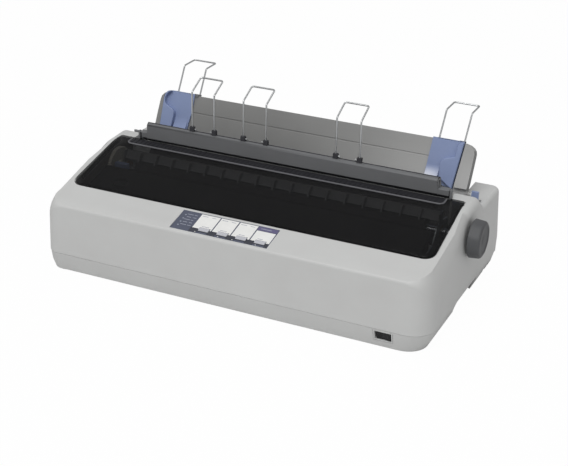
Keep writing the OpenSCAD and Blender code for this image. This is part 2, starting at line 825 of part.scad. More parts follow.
module shaft_bushes() {
    color("#d8c9a0") both_sides() {
        difference() {
            union() {
                along_x(frame_x, frame_t) translate([platen_y, platen_z]) circle(shaft_r + 3);
                along_x(frame_x - 2, 2) translate([platen_y, platen_z]) circle(shaft_r + 5);
            }
            along_x(frame_x - 3, frame_t + 5) translate([platen_y, platen_z]) circle(shaft_r + run_gap);
        }
        difference() {
            union() {
                along_x(frame_x, frame_t) translate([tractor_y, tractor_z]) circle(tractor_shaft_r + 2.5);
                along_x(frame_x - 2, 2) translate([tractor_y, tractor_z]) circle(tractor_shaft_r + 4);
            }
            along_x(frame_x - 3, frame_t + 5) translate([tractor_y, tractor_z])
                circle(tractor_shaft_r + run_gap);
        }
    }
}

module carriage_rod() {
    color(steel) along_x(-frame_x - frame_t, 2 * (frame_x + frame_t))
        translate([carriage_rod_y, carriage_rod_z]) circle(guide_rod_r);
}

module front_rail() {
    top = carriage_rod_z - 8;
    color(steel) along_x(-frame_x, 2 * frame_x) polygon([
        [rail_y, top], [rail_y - 8, top], [rail_y - 8, top - 18],
        [rail_y - 6, top - 18], [rail_y - 6, top - 2], [rail_y, top - 2]
    ]);
}

module tractor_rod() {
    color(steel) along_x(-frame_x - frame_t, 2 * (frame_x + frame_t)) translate([rod_y, tractor_z])
        circle(rod_r);
}

// The chute leads the sheet from the slot round the underside of the platen
module paper_chute() {
    r = platen_r + 3.4;
    curve = [for (a = [-40 : -17 : -145]) [platen_y + r * cos(a), platen_z + r * sin(a)]];
    points = concat([[crest_y + 28, 112], [crest_y + 16, 99], [crest_y - 4, 90]], curve);
    color(dark_grey) along_x(-frame_x, 2 * frame_x)
        for (i = [0 : len(points) - 2]) strip(points[i], points[i + 1], 1.6);
}

// The ribbed guide that leads the printed sheet up and out, over the platen
module exit_guide() {
    low = platen_z + platen_r + 1.2;
    color(dark_grey) {
        along_x(-frame_x, 2 * frame_x) polygon([
            [platen_y - 6, low], [platen_y - 1, low], [platen_y + 5, low + 9], [platen_y + 2, low + 9.4]
        ]);
        for (i = [-8 : 8]) along_x(i * (frame_x - 24) / 8 - 0.9, 1.8) polygon([
            [platen_y - 14, low + 0.4], [platen_y - 3, low],
            [platen_y + 3, low + 9.2], [platen_y - 7, low + 11.4]
        ]);
    }
}

module carriage_motor() {
    color("#3c3d40") difference() {
        translate([-belt_x, belt_y, belt_z - 38]) cylinder(h = 30, r = 19);
        translate([-belt_x, belt_y, belt_z - 20]) cylinder(h = 20, r = 2.5 + run_gap);
    }
}

module paper_feed_motor() {
    color("#3c3d40") difference() {
        along_x(-frame_x, 26) translate([motor_y, motor_z]) circle(20);
        along_x(-frame_x - 1, 13) translate([motor_y, motor_z]) circle(2.5 + run_gap);
    }
}

// A band round the two pulleys, drawn in X and Y
module belt_loop(r) {
    translate([-belt_x, belt_y - r]) square([2 * belt_x, 2 * r]);
    for (x = [-belt_x, belt_x]) translate([x, belt_y]) circle(r);
}

module timing_belt() {
    color(black) translate([0, 0, belt_z]) linear_extrude(belt_h) difference() {
        belt_loop(pulley_r + belt_t);
        belt_loop(pulley_r);
    }
}

module pulley(x) {
    translate([x, belt_y, belt_z - 2]) difference() {
        union() {
            cylinder(h = belt_h + 4, r = pulley_r - part_gap);
            cylinder(h = 1.6, r = pulley_r + 1.5);
            translate([0, 0, belt_h + 2.4]) cylinder(h = 1.6, r = pulley_r + 1.5);
        }
        translate([0, 0, -1]) cylinder(h = belt_h + 8, r = 2.5 + run_gap);
    }
}

module motor_pulley() {
    color("#d9d4c4") pulley(-belt_x);
    color(steel) translate([-belt_x, belt_y, belt_z - 18]) cylinder(h = belt_h + 20, r = 2.5);
}

module idler_pulley() {
    color("#d9d4c4") pulley(belt_x);
}

module ribbon_cartridge() {
    y0 = cartridge_y;
    y1 = y0 + cartridge_d;
    lid_y = y1 + 11;
    under = cover_proud - cover_t;
    w = frame_x + 5;
    color("#232326") difference() {
        union() {
            along_x(-w, 2 * w) polygon([
                [y0, cartridge_z], [y0, slope_z(y0) + under - 4], [lid_y, slope_z(lid_y) + under - 2.4],
                [lid_y, slope_z(lid_y) + under - 5], [y1, slope_z(y1) + under - 5.6], [y1, cartridge_z]
            ]);
            both_sides() block([platen_len / 2 + 1, y1 - 3, 93],
                               [platen_len / 2 + 5, platen_y - platen_r - 3, 103]);
        }
        translate([34 - frame_x, y0 + 22, 103]) cylinder(h = 30, r = 10);
        translate([34 - frame_x, y0 + 22, 96]) cylinder(h = 10, r = 3 + run_gap);
    }
    color(black) block([-platen_len / 2 - 1, nose_y + 0.5, platen_z - ribbon_h / 2],
                       [platen_len / 2 + 1, nose_y + 0.5 + ribbon_t, platen_z + ribbon_h / 2]);
}

module ribbon_drive_knob() {
    top = slope_z(cartridge_y + 13) + cover_proud - cover_t - 1.6;
    color(blue) translate([34 - frame_x, cartridge_y + 22, 0]) {
        translate([0, 0, 97]) cylinder(h = 7, r = 3);
        translate([0, 0, 103.4]) cylinder(h = top - 103.4, r = 9);
    }
}

module printer_cover() {
    w = cover_w / 2;
    top = cover_proud;
    under = top - cover_t;
    color("#2b2b2d") difference() {
        union() {
            intersection() {
                linear_extrude(crest_z + 10) rounded_plan(w, cover_y, cover_end_y, cover_corner, 3);
                along_x(-w, 2 * w) polygon([
                    [cover_y, slope_z(cover_y) + under], [cover_end_y, slope_z(cover_end_y) + under],
                    [cover_end_y, slope_z(cover_end_y) + top], [cover_y, slope_z(cover_y) + top]
                ]);
            }
            both_sides() {
                along_x(w - 2.4, 2.4) polygon([
                    [cover_y + 20, slope_z(cover_y + 20) - skirt_h], [pin_y, slope_z(pin_y) - skirt_h],
                    [pin_y, slope_z(pin_y)], [cover_y + 20, slope_z(cover_y + 20)]
                ]);
                along_x(w - 2.4, 2.4) translate([pin_y, pin_z]) circle(cover_pin_r + 1);
                along_x(w - 1, rim_x + wall - w + 0.6) translate([pin_y, pin_z]) circle(cover_pin_r);
            }
        }
    }
}

module tear_off_edge() {
    y0 = cover_end_y - tear_d;
    y1 = cover_end_y - 1.5;
    color("#3a3b3d") along_x(-tear_w / 2, tear_w) polygon([
        [y0, slope_z(y0) + cover_proud], [y1, slope_z(y1) + cover_proud],
        [y1, slope_z(y1) + cover_proud + tear_h], [y0 + 1, slope_z(y0 + 1) + cover_proud + tear_h]
    ]);
}

// Section of the guide cover, drawn in Y and Z
module bar_section(h) {
    polygon([
        [bar_y + 3, bar_z], [bar_y + 3 - 3 * h / bar_h, bar_z + h],
        [bar_y + bar_d, bar_z + h], [bar_y + bar_d, bar_z]
    ]);
}

module guide_cover() {
    color(dark_grey) difference() {
        union() {
            difference() {
                along_x(-bar_w / 2, bar_w) bar_section(bar_h);
                along_x(-bar_w / 2 + bar_wall, bar_w - 2 * bar_wall) offset(delta = -bar_wall)
                    polygon([
                        [bar_y + 3, bar_z - 10], [bar_y + 3, bar_z], [bar_y, bar_z + bar_h],
                        [bar_y + bar_d, bar_z + bar_h], [bar_y + bar_d, bar_z - 10]
                    ]);
            }
            both_sides() {
                along_x(bar_w / 2 - 1, bar_end_w - bar_w / 2 + 1) bar_section(bar_end_h);
                along_x(bar_end_w - 1, slot_x + cheek_t - bar_end_w + 0.5)
                    translate([bar_pin_y, bar_pin_z]) circle(bar_pin_r);
            }
            for (x = loop_x, side = [-1, 1]) {
                middle = x + side * (loop_w / 2 - wire_r - part_gap - clamp_w / 2);
                block([middle - clamp_w / 2, clamp_y - 2.4, clamp_z - 0.1],
                      [middle + clamp_w / 2, clamp_y + 2.4, clamp_z + clamp_h]);
            }
        }
        for (x = loop_x) along_x(x - loop_w / 2, loop_w)
            translate([clamp_y, clamp_z + 3]) circle(wire_r + run_gap);
    }
}

module paper_loop(x) {
    z0 = clamp_z + 3;
    y1 = clamp_y + loop_back;
    w = loop_w / 2;
    color(steel) translate([x, 0, 0]) wire([
        [-w + clamp_w + 1, clamp_y, z0], [-w, clamp_y, z0], [-w, clamp_y, z0 + loop_h],
        [-w, y1, z0 + loop_h + loop_rise], [w, y1, z0 + loop_h + loop_rise],
        [w, clamp_y, z0 + loop_h], [w, clamp_y, z0], [w - clamp_w - 1, clamp_y, z0]
    ], wire_r);
}

module sheet_guide() {
    color(mid_grey) on_guide() {
        difference() {
            union() {
                along_y(-guide_t / 2, guide_t) rounded_plan(guide_w / 2, -1.4, guide_h, 1.4, guide_corner);
                along_y(-guide_t / 2 - guide_rim, guide_rim + 1) difference() {
                    rounded_plan(guide_w / 2, 5, guide_h, 1, guide_corner);
                    rounded_plan(guide_w / 2 - 3, 4, guide_h - 3, 1, guide_corner - 3);
                    translate([edge_stop - 1.5 - guide_w / 2, 4])
                        square([guide_w + 3 - 2 * edge_stop, guide_h]);
                }
            }
            block([-guide_w / 2 + 30, -guide_t / 2 - 1, 38], [guide_w / 2 - 30, -guide_t / 2 + 0.6, 39.2]);
        }
        both_sides() along_x(guide_w / 2 - 1, 6) circle(guide_pin_r);
    }
}

// An edge guide: a base plate, a raised fence on its outer side, and a saddle over the top edge
module edge_guide(x0, x1, legs_x, outer) {
    front = -guide_t / 2 - part_gap;
    back = guide_t / 2 + part_gap;
    top = guide_h + 3;
    w = x1 - x0;
    fence_x = outer < 0 ? x0 : x1;
    color(blue) on_guide() difference() {
        union() {
            along_y(front - 2.4, 2.4) translate([x0, edge_low]) square([w, top - edge_low]);
            along_y(front - edge_d, edge_d) translate([fence_x, 0]) scale([-outer, 1, 1]) polygon([
                [0, edge_low], [0.56 * w, edge_low], [0.58 * w, 36], [0.5 * w, 42],
                [0.28 * w, 50], [0.22 * w, 57], [0.2 * w, top], [0, top]
            ]);
            block([min(x0, legs_x - 4), front - 2.4, guide_h + part_gap],
                  [max(x1, legs_x + edge_loop_w + 4), back + saddle_t, top]);
            block([legs_x - 4, back, guide_h - 26], [legs_x + edge_loop_w + 4, back + saddle_t, top]);
        }
        for (x = [legs_x, legs_x + edge_loop_w])
            translate([x, leg_y, guide_h - 30]) cylinder(h = 40, r = wire_r + run_gap, $fn = 24);
    }
}

module left_edge_guide() {
    edge_guide(left_edge_x, left_edge_x + left_edge_w, left_legs_x, -1);
}

module right_edge_guide() {
    edge_guide(right_edge_x - right_edge_w, right_edge_x, right_legs_x, 1);
}

module support_wire(x) {
    z0 = guide_h + 3 - edge_loop_in;
    z1 = guide_h + 3 + edge_loop_h;
    bend = from_guide(x, leg_y, z1);
    back = [0, edge_loop_back, 0];
    across = [edge_loop_w, 0, 0];
    color(steel) wire([
        from_guide(x, leg_y, z0), bend, bend + back, bend + back + across, bend + across,
        from_guide(x + edge_loop_w, leg_y, z0)
    ], wire_r);
}

module platen() {
    color("#1f1f20") difference() {
        along_x(-platen_len / 2, platen_len) translate([platen_y, platen_z]) circle(platen_r);
        along_x(-platen_len / 2 - 1, platen_len + 2) translate([platen_y, platen_z]) circle(shaft_r);
    }
}

module platen_shaft() {
    color(steel) along_x(gear_x - 3, half_w + knob_out - 3 - gear_x + 3)
        translate([platen_y, platen_z]) circle(shaft_r);
}

module platen_gear() {
    color("#e2dfd4") train_gear(platen_y, platen_z, platen_teeth, 0, shaft_r, shaft_r + 4);
}

module reduction_gear() {
    color("#e2dfd4")
        train_gear(reduction_y, reduction_z, reduction_teeth, reduction_phase, stud_r + run_gap, stud_r + 3);
}

module motor_pinion() {
    color("#c9a94e") train_gear(motor_y, motor_z, pinion_teeth, pinion_phase, 2.5, 4);
    color(steel) along_x(gear_x - 1, -frame_x - gear_x + 10) translate([motor_y, motor_z]) circle(2.5);
}

module feed_knob() {
    low_z = platen_z - 0.8 * knob_r;
    face_x = half_w - side_draft * (low_z - waist_h) / (crest_z - waist_h) + knob_gap;
    end_x = half_w + knob_out;
    color("#66686b") difference() {
        union() {
            along_x(face_x, 1) translate([platen_y, platen_z]) circle(0.8 * knob_r);
            translate([face_x + 1, platen_y, platen_z]) rotate([0, 90, 0])
                cylinder(h = end_x - face_x - 1, r1 = knob_r, r2 = knob_r - 2.5);
        }
        along_x(face_x - 1, end_x - 2 - face_x) translate([platen_y, platen_z]) circle(shaft_r);
    }
}

module tractor_shaft() {
    color(steel) {
        along_x(-frame_x + 3, 2 * frame_x - 6)
            translate([tractor_y, tractor_z]) square(1.34 * tractor_shaft_r, center = true);
        both_sides() along_x(frame_x - 3.1, frame_t + 6) translate([tractor_y, tractor_z])
            circle(tractor_shaft_r);
        along_x(gear_x - 1, -frame_x - gear_x + 1) translate([tractor_y, tractor_z]) circle(tractor_shaft_r);
    }
    color("#e2dfd4")
        train_gear(tractor_y, tractor_z, tractor_teeth, tractor_phase, tractor_shaft_r, tractor_shaft_r + 3);
}

// A tractor: the plate beside its pin wheel, on the shaft and the rod, with the pins of its lid
module tractor(side) {
    x0 = side < 0 ? -tractor_x - 8 : tractor_x + 2;
    lid_x = side < 0 ? x0 - 3 : x0 + 9;
    lid_z = tractor_z + wheel_r + 4.5;
    color("#3b3c3f") difference() {
        union() {
            along_x(x0, 6) {
                translate([tractor_y, tractor_z]) circle(wheel_r);
                translate([rod_y, tractor_z]) circle(rod_r + 5);
                translate([tractor_y, tractor_z - 8]) square([rod_pitch, 16]);
                translate([tractor_y - 6, tractor_z]) square([30, wheel_r + 4]);
            }
            block([min(x0 + 1, lid_x), tractor_y - 6, lid_z - 6], [max(x0 + 5, lid_x), tractor_y - 3, lid_z]);
            block([min(x0 + 1, lid_x), tractor_y + 21, lid_z - 6],
                  [max(x0 + 5, lid_x), tractor_y + 24, lid_z]);
            along_y(tractor_y - 6, 30) translate([lid_x, lid_z]) circle(1.5);
        }
        along_x(x0 - 1, 8) {
            translate([tractor_y, tractor_z]) circle(tractor_shaft_r + run_gap);
            translate([rod_y, tractor_z]) circle(rod_r + run_gap);
        }
    }
}

module pin_wheel(side) {
    x0 = side < 0 ? -tractor_x - 1.6 : tractor_x + 1.6 - wheel_w;
    color("#d9d4c4") difference() {
        union() {
            along_x(x0, wheel_w) translate([tractor_y, tractor_z]) circle(wheel_r - 1);
            for (a = [0 : 30 : 330]) translate([x0 + wheel_w / 2, tractor_y, tractor_z]) rotate([a, 0, 0])
                cylinder(h = wheel_r + 1, r = 1.1, $fn = 20);
        }
        along_x(x0 - 1, wheel_w + 2) translate([tractor_y, tractor_z])
            square(1.34 * tractor_shaft_r + 2 * run_gap, center = true);
    }
}

module tractor_cover(side) {
    x0 = side < 0 ? -tractor_x - 8 : tractor_x + 2;
    lid_x = side < 0 ? x0 - 3 : x0 + 9;
    lid_z = tractor_z + wheel_r + 4.5;
    far_x = lid_x - side * 20;
    color("#3b3c3f") difference() {
        union() {
            along_y(tractor_y - 2.6, 23.2) translate([lid_x, lid_z]) circle(3);
            block([min(lid_x, far_x), tractor_y - 2.6, lid_z + 0.8],
                  [max(lid_x, far_x), tractor_y + 20.6, lid_z + 2.8]);
        }
        along_y(tractor_y - 3, 24) translate([lid_x, lid_z]) circle(1.5 + run_gap);
        block([min(x0 - 2, x0 + 8), tractor_y - 3, lid_z - 4],
              [max(x0 - 2, x0 + 8), tractor_y + 21, lid_z + 0.3]);
    }
}

module carriage() {
    x0 = carriage_x - carriage_w / 2;
    rail_top = carriage_rod_z - 8;
    clamp = belt_y + pulley_r + belt_t / 2;
    color("#3a3b3e") difference() {
        union() {
            along_x(x0, carriage_w) {
                translate([carriage_rod_y, carriage_rod_z]) circle(guide_rod_r + 4);
                polygon([
                    [rail_y - 6, rail_top + part_gap], [carriage_rod_y, rail_top + part_gap],
                    [carriage_rod_y, carriage_rod_z + 4], [carriage_rod_y - 6, carriage_rod_z + 10],
                    [carriage_rod_y - 11, carriage_rod_z + 10], [carriage_rod_y - 11, rail_top + 5],
                    [rail_y - 6, rail_top + 5]
                ]);
                polygon([
                    [carriage_rod_y - 11, carriage_rod_z + 10], [carriage_rod_y + 14, carriage_rod_z + 10],
                    [carriage_rod_y + 8, carriage_rod_z], [carriage_rod_y - 8, carriage_rod_z]
                ]);
            }
            block([carriage_x - 8, clamp - 3, belt_z - 1.5], [carriage_x + 8, clamp + 3, rail_top + 2]);
        }
        along_x(x0 - 1, carriage_w + 2) translate([carriage_rod_y, carriage_rod_z])
            circle(guide_rod_r + run_gap);
        block([carriage_x - 9, clamp - belt_t / 2 - part_gap, belt_z - 2],
              [carriage_x + 9, clamp + belt_t / 2 + part_gap, belt_z + belt_h + part_gap]);
    }
}

module print_head() {
    low = carriage_rod_z + 10;
    y0 = carriage_rod_y - 8;
    color("#2c2c2e") {
        translate([carriage_x, 0, 0]) {
            block([-17, y0 + 2, low], [17, y0 + 20, low + 24]);
            for (i = [0 : 6]) block([-19, y0 + 1 + 3 * i, low + 3], [19, y0 + 2.6 + 3 * i, low + 25]);
        }
        along_x(carriage_x - 8, 16) polygon([
            [y0 + 19, low + 2], [y0 + 19, low + 23], [nose_y, platen_z + 4], [nose_y, platen_z - 4]
        ]);
    }
}

module release_lever() {
    color(blue) along_x(release_x - 4.5, 9) difference() {
        union() {
            translate([release_y, release_z]) circle(stud_r + 3);
            translate([release_y - 2, release_z]) square([4, 54]);
        }
        translate([release_y, release_z]) circle(stud_r + run_gap);
    }
}

module thickness_lever() {
    x0 = -frame_x + 1;
    color(blue) {
        along_x(x0, 6) difference() {
            union() {
                translate([carriage_rod_y, carriage_rod_z]) circle(guide_rod_r + 3.5);
                polygon([
                    [carriage_rod_y + 3, carriage_rod_z + guide_rod_r + 1],
                    [carriage_rod_y + 8, carriage_rod_z + 4], [carriage_rod_y + 19, carriage_rod_z + 46],
                    [carriage_rod_y + 14, carriage_rod_z + 46]
                ]);
            }
            translate([carriage_rod_y, carriage_rod_z]) circle(guide_rod_r + run_gap);
        }
        block([x0, carriage_rod_y + 12, carriage_rod_z + 34],
              [x0 + 19, carriage_rod_y + 19, carriage_rod_z + 47]);
    }
}

lower_case();
rubber_feet();
upper_case();
operation_panel();
indicator_lights();
panel_board();
switch_housing();
main_board();
power_supply();
left_side_frame();
right_side_frame();
carriage_rod();
front_rail();
paper_chute();
exit_guide();
carriage_motor();
paper_feed_motor();
timing_belt();
interface_connector();
mains_inlet();
ribbon_cartridge();
shaft_bushes();
case_screws();
tractor_rod();
printer_cover();
tear_off_edge();
guide_cover();
paper_loop(loop_x[0]);  // loop_left
paper_loop(loop_x[1]);  // loop_middle
paper_loop(loop_x[2]);  // loop_right
sheet_guide();
left_edge_guide();
right_edge_guide();
support_wire(left_legs_x);  // left_support_wire
support_wire(right_legs_x);  // right_support_wire
platen();
platen_shaft();
platen_gear();
feed_knob();
reduction_gear();
motor_pinion();
tractor_shaft();
tractor(-1);  // left_tractor
tractor(1);  // right_tractor
pin_wheel(-1);  // left_pin_wheel
pin_wheel(1);  // right_pin_wheel
tractor_cover(-1);  // left_tractor_cover
tractor_cover(1);  // right_tractor_cover
carriage();
print_head();
ribbon_drive_knob();
motor_pulley();
idler_pulley();
release_lever();
thickness_lever();
power_rocker();
button(0);  // button_1
button(1);  // button_2
button(2);  // button_3
button(3);  // button_4
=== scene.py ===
"""Wide-carriage dot matrix printer, dressed on its CAD frame. Meshes are drawn in
millimetres, in the printer's own axes, and scaled to metres when a piece is done."""
import math

import bmesh
import bpy
from mathutils import Matrix, Vector


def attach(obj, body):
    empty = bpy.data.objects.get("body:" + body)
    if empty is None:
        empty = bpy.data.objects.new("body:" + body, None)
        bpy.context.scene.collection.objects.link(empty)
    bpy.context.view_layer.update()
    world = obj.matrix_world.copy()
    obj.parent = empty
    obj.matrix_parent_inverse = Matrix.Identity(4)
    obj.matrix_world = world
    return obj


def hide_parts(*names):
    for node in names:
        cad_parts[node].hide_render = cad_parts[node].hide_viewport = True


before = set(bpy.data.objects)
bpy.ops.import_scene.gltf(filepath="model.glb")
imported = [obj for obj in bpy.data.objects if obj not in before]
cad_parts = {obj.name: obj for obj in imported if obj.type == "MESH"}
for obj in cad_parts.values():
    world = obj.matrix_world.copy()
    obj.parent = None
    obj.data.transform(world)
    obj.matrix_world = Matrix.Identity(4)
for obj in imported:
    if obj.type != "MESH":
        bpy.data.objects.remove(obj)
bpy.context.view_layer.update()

# Camera: to the right of the middle, looking down on the control panel.
turn, tilt, roll = (math.radians(v) for v in (24.53, 25.13, 1.22))
ahead = Vector((-math.sin(turn) * math.cos(tilt), math.cos(turn) * math.cos(tilt), -math.sin(tilt)))
level = Vector((math.cos(turn), math.sin(turn), 0))
above = level.cross(ahead)
right = math.cos(roll) * level + math.sin(roll) * above
up = math.cos(roll) * above - math.sin(roll) * level
camera = bpy.data.objects.new("camera", bpy.data.cameras.new("camera"))
facing = Matrix((right, up, -ahead)).transposed().to_4x4()
camera.matrix_world = Matrix.Translation((0.6504, -1.3925, 0.7715)) @ facing
camera.data.lens = 81.81
bpy.context.scene.collection.objects.link(camera)
bpy.context.scene.camera = camera


# Studio: a white paper floor that runs out of sight, a broad lamp high in front, a
# weak one low on the right, a small one overhead, and a white room all round.
def paint(text):
    """A linear colour from an sRGB hex value."""
    parts = [int(text[i:i + 2], 16) / 255 for i in (1, 3, 5)]
    return [p / 12.92 if p <= 0.04045 else ((p + 0.055) / 1.055) ** 2.4 for p in parts] + [1]


def add(tree, kind, settings=(), links=()):
    """Adds a node. Settings name its properties or sockets, links join sockets to it."""
    node = tree.nodes.new("ShaderNode" + kind)
    for key, value in dict(settings).items():
        if isinstance(key, str) and hasattr(node, key):
            setattr(node, key, value)
        else:
            node.inputs[key].default_value = value
    for key, socket in dict(links).items():
        tree.links.new(socket, node.inputs[key])
    return node


def new_material(name):
    """A material, its node tree and its shader."""
    material = bpy.data.materials.new(name)
    material.use_nodes = True
    return material, material.node_tree, material.node_tree.nodes["Principled BSDF"]


bpy.context.scene.view_settings.view_transform = "Standard"
room = bpy.data.worlds.new("studio_room")
bpy.context.scene.world = room
room.use_nodes = True
tree = room.node_tree
# as the room lights the machine, and as it is seen straight on or through the cover
ray = add(tree, "LightPath").outputs
seen = add(tree, "Math", {"operation": "MAXIMUM"}, {0: ray["Is Camera Ray"], 1: ray["Is Transmission Ray"]})
strength = add(tree, "MapRange", {"To Min": 0.41, "To Max": 1.0}, {"Value": seen.outputs[0]})
tree.links.new(strength.outputs[0], tree.nodes["Background"].inputs["Strength"])
tree.nodes["Background"].inputs["Color"].default_value = (1, 1, 1, 1)

# matt white paper that the camera sees as almost pure white, with a trace of shadow
paper, tree, shader = new_material("studio_paper")
shader.inputs["Base Color"].default_value = paint("#e4e4e4")
shader.inputs["Roughness"].default_value = 1
shader.inputs["Specular IOR Level"].default_value = 0
ray = add(tree, "LightPath").outputs
glow = add(tree, "Emission", {"Color": (1, 1, 1, 1), "Strength": 1.0})
share = add(tree, "Math", {"operation": "MULTIPLY", 1: 0.98}, {0: ray["Is Camera Ray"]})
blend = add(tree, "MixShader", {}, {0: share.outputs[0], 1: shader.outputs[0], 2: glow.outputs[0]})
tree.links.new(blend.outputs[0], tree.nodes["Material Output"].inputs["Surface"])
ground = bmesh.new()
bmesh.ops.create_grid(ground, x_segments=1, y_segments=1, size=6)
mesh = bpy.data.meshes.new("floor")
ground.to_mesh(mesh)
mesh.materials.append(paper)
floor = bpy.data.objects.new("floor", mesh)
bpy.context.scene.collection.objects.link(floor)

# each lamp's place, size in metres and power in watts; all are turned to the machine's middle
lamps = {"key_lamp": ((0.1, -2.2, 3.2), 2.2, 66), "fill_lamp": ((1.3, -1.5, 0.9), 0.9, 1.2),
         "top_lamp": ((-0.2, 0.1, 3), 1.2, 9)}
middle = Vector((0, 0, 0.08))
for name, (place, size, power) in lamps.items():
    lamp = bpy.data.objects.new(name, bpy.data.lights.new(name, "AREA"))
    lamp.data.size, lamp.data.energy = size, power
    lamp.location = place
    lamp.rotation_euler = (middle - Vector(place)).to_track_quat("-Z", "Y").to_euler()
    bpy.context.scene.collection.objects.link(lamp)


# Upper case: one light grey ABS moulding about 2.6 mm thick, with drafted sides,
# soft outer edges, a well for the cover and a sunk deck behind the crest. Four
# screws from below hold it to the lower case.
half_w, front_y, rear_y, wall, seam_z, front_z = 267.4, -142, 142, 2.6, 27, 97
slope = math.tan(math.radians(13.4))
# the top's line from front to rear: slope, crest, shoulder and rear deck
crest = [(front_y, front_z), (-110, 104.6), (0, 130.82), (5, 131.84), (9, 132.5), (14, 132.8), (46, 134.2),
         (49, 133.8), (51, 132.4), (65, 117), (67, 116), (rear_y, 116)]


def crest_z(y):
    """Height of the case's top at a distance y from its middle."""
    for (y0, z0), (y1, z1) in zip(crest, crest[1:]):
        if y <= y1 or y1 == rear_y:
            return z0 + (z1 - z0) * (y - y0) / (y1 - y0)


def held(value):
    """A share kept between 0 and 1."""
    return min(1, max(0, value))


def prism(bm, outline, axis, start, end):
    """A solid whose outline lies square to an axis, between two places along it."""
    order = {"x": (2, 0, 1), "y": (0, 2, 1), "z": (0, 1, 2)}[axis]
    face = bm.faces.new([bm.verts.new([(a, b, start)[i] for i in order]) for a, b in outline])
    grown = bmesh.ops.extrude_face_region(bm, geom=[face], use_keep_orig=True)["geom"]
    moved = [g for g in grown if isinstance(g, bmesh.types.BMVert)]
    bmesh.ops.translate(bm, verts=moved, vec=[end - start if i == 2 else 0 for i in order])


def block(bm, low, high):
    """A box between two corners."""
    low, high = Vector(low), Vector(high)
    size = Matrix.Diagonal((*(high - low), 1))
    bmesh.ops.create_cube(bm, size=1, matrix=Matrix.Translation((low + high) / 2) @ size)


def pin(bm, x, y, z, radius, length, sides=24):
    """A round bar that lies along X, about its middle."""
    turned = Matrix.Translation((x, y, z)) @ Matrix.Rotation(math.radians(90), 4, "Y")
    bmesh.ops.create_cone(bm, cap_ends=True, segments=sides, radius1=radius, radius2=radius, depth=length,
                          matrix=turned)


def soften(bm, edges, offset, segments):
    """Rounds edges over the given distance on each side."""
    bmesh.ops.recalc_face_normals(bm, faces=bm.faces)
    bmesh.ops.bevel(bm, geom=list(edges), offset=offset, offset_type="OFFSET", segments=segments, profile=0.5,
                    affect="EDGES", material=-1, clamp_overlap=True)


def along(bm, axis, test=lambda p: True):
    """The edges that run along an axis and whose middle passes the test."""
    found = []
    for e in bm.edges:
        d = e.verts[0].co - e.verts[1].co
        if abs(d["xyz".index(axis)]) > 0.9 * d.length and test((e.verts[0].co + e.verts[1].co) / 2):
            found.append(e)
    return found


def plan(half, y0, y1, r0, r1, stops=()):
    """The right half of a rounded plan, rear to front: places and their inward directions."""
    found, steps = [], 8
    for centre_y, r, first in ((y1 - r1, r1, 90), (y0 + r0, r0, 0)):
        for i in range(steps + 1):
            a = math.radians(first - 90 * i / steps)
            out = Vector((math.cos(a), math.sin(a), 0))
            found.append((Vector((half - r, centre_y, 0)) + out * r, -out))
        if first:
            inside = [y for y in sorted(stops, reverse=True) if y0 + r0 + 1 < y < y1 - r1 - 1]
            found += [(Vector((half, y, 0)), Vector((-1, 0, 0))) for y in inside]
    return found


def loft(bm, rings, low_cap=False, high_cap=True):
    """Skins mirrored rings of points, lowest first, and closes the ends from side to side."""
    loops = [[bm.verts.new(p) for p in half] + [bm.verts.new((-p.x, p.y, p.z)) for p in reversed(half)]
             for half in rings]
    n = len(loops[0])
    for a, b in zip(loops, loops[1:]):
        for i in range(n):
            bm.faces.new((a[i], a[(i + 1) % n], b[(i + 1) % n], b[i]))
    for loop in ([loops[0]] if low_cap else []) + ([loops[-1]] if high_cap else []):
        for i in range(n // 2 - 1):
            bm.faces.new((loop[i], loop[i + 1], loop[n - 2 - i], loop[n - 1 - i]))


def modified(bm, kind, **settings):
    """The mesh as one of the modifiers leaves it."""
    bmesh.ops.recalc_face_normals(bm, faces=bm.faces)
    mesh = bpy.data.meshes.new("part")
    bm.to_mesh(mesh)
    bm.free()
    part = bpy.data.objects.new("part", mesh)
    bpy.context.scene.collection.objects.link(part)
    modifier = part.modifiers.new(kind.lower(), kind)
    for key, value in settings.items():
        setattr(modifier, key, value)
    made = bmesh.new()
    made.from_object(part, bpy.context.evaluated_depsgraph_get())
    bpy.data.objects.remove(part)
    return made


def carve(bm, cutter):
    """The first mesh with the second cut from it."""
    bmesh.ops.recalc_face_normals(cutter, faces=cutter.faces)
    mesh = bpy.data.meshes.new("cutter")
    cutter.to_mesh(mesh)
    cutter.free()
    tool = bpy.data.objects.new("cutter", mesh)
    bpy.context.scene.collection.objects.link(tool)
    made = modified(bm, "BOOLEAN", object=tool, operation="DIFFERENCE", solver="EXACT")
    bpy.data.objects.remove(tool)
    return made


def break_edges(bm, width):
    """Takes the sharpness off the edges that turn by more than 42 degrees."""
    return modified(bm, "BEVEL", width=width, segments=2, limit_method="ANGLE", angle_limit=math.radians(42),
                    use_clamp_overlap=True)


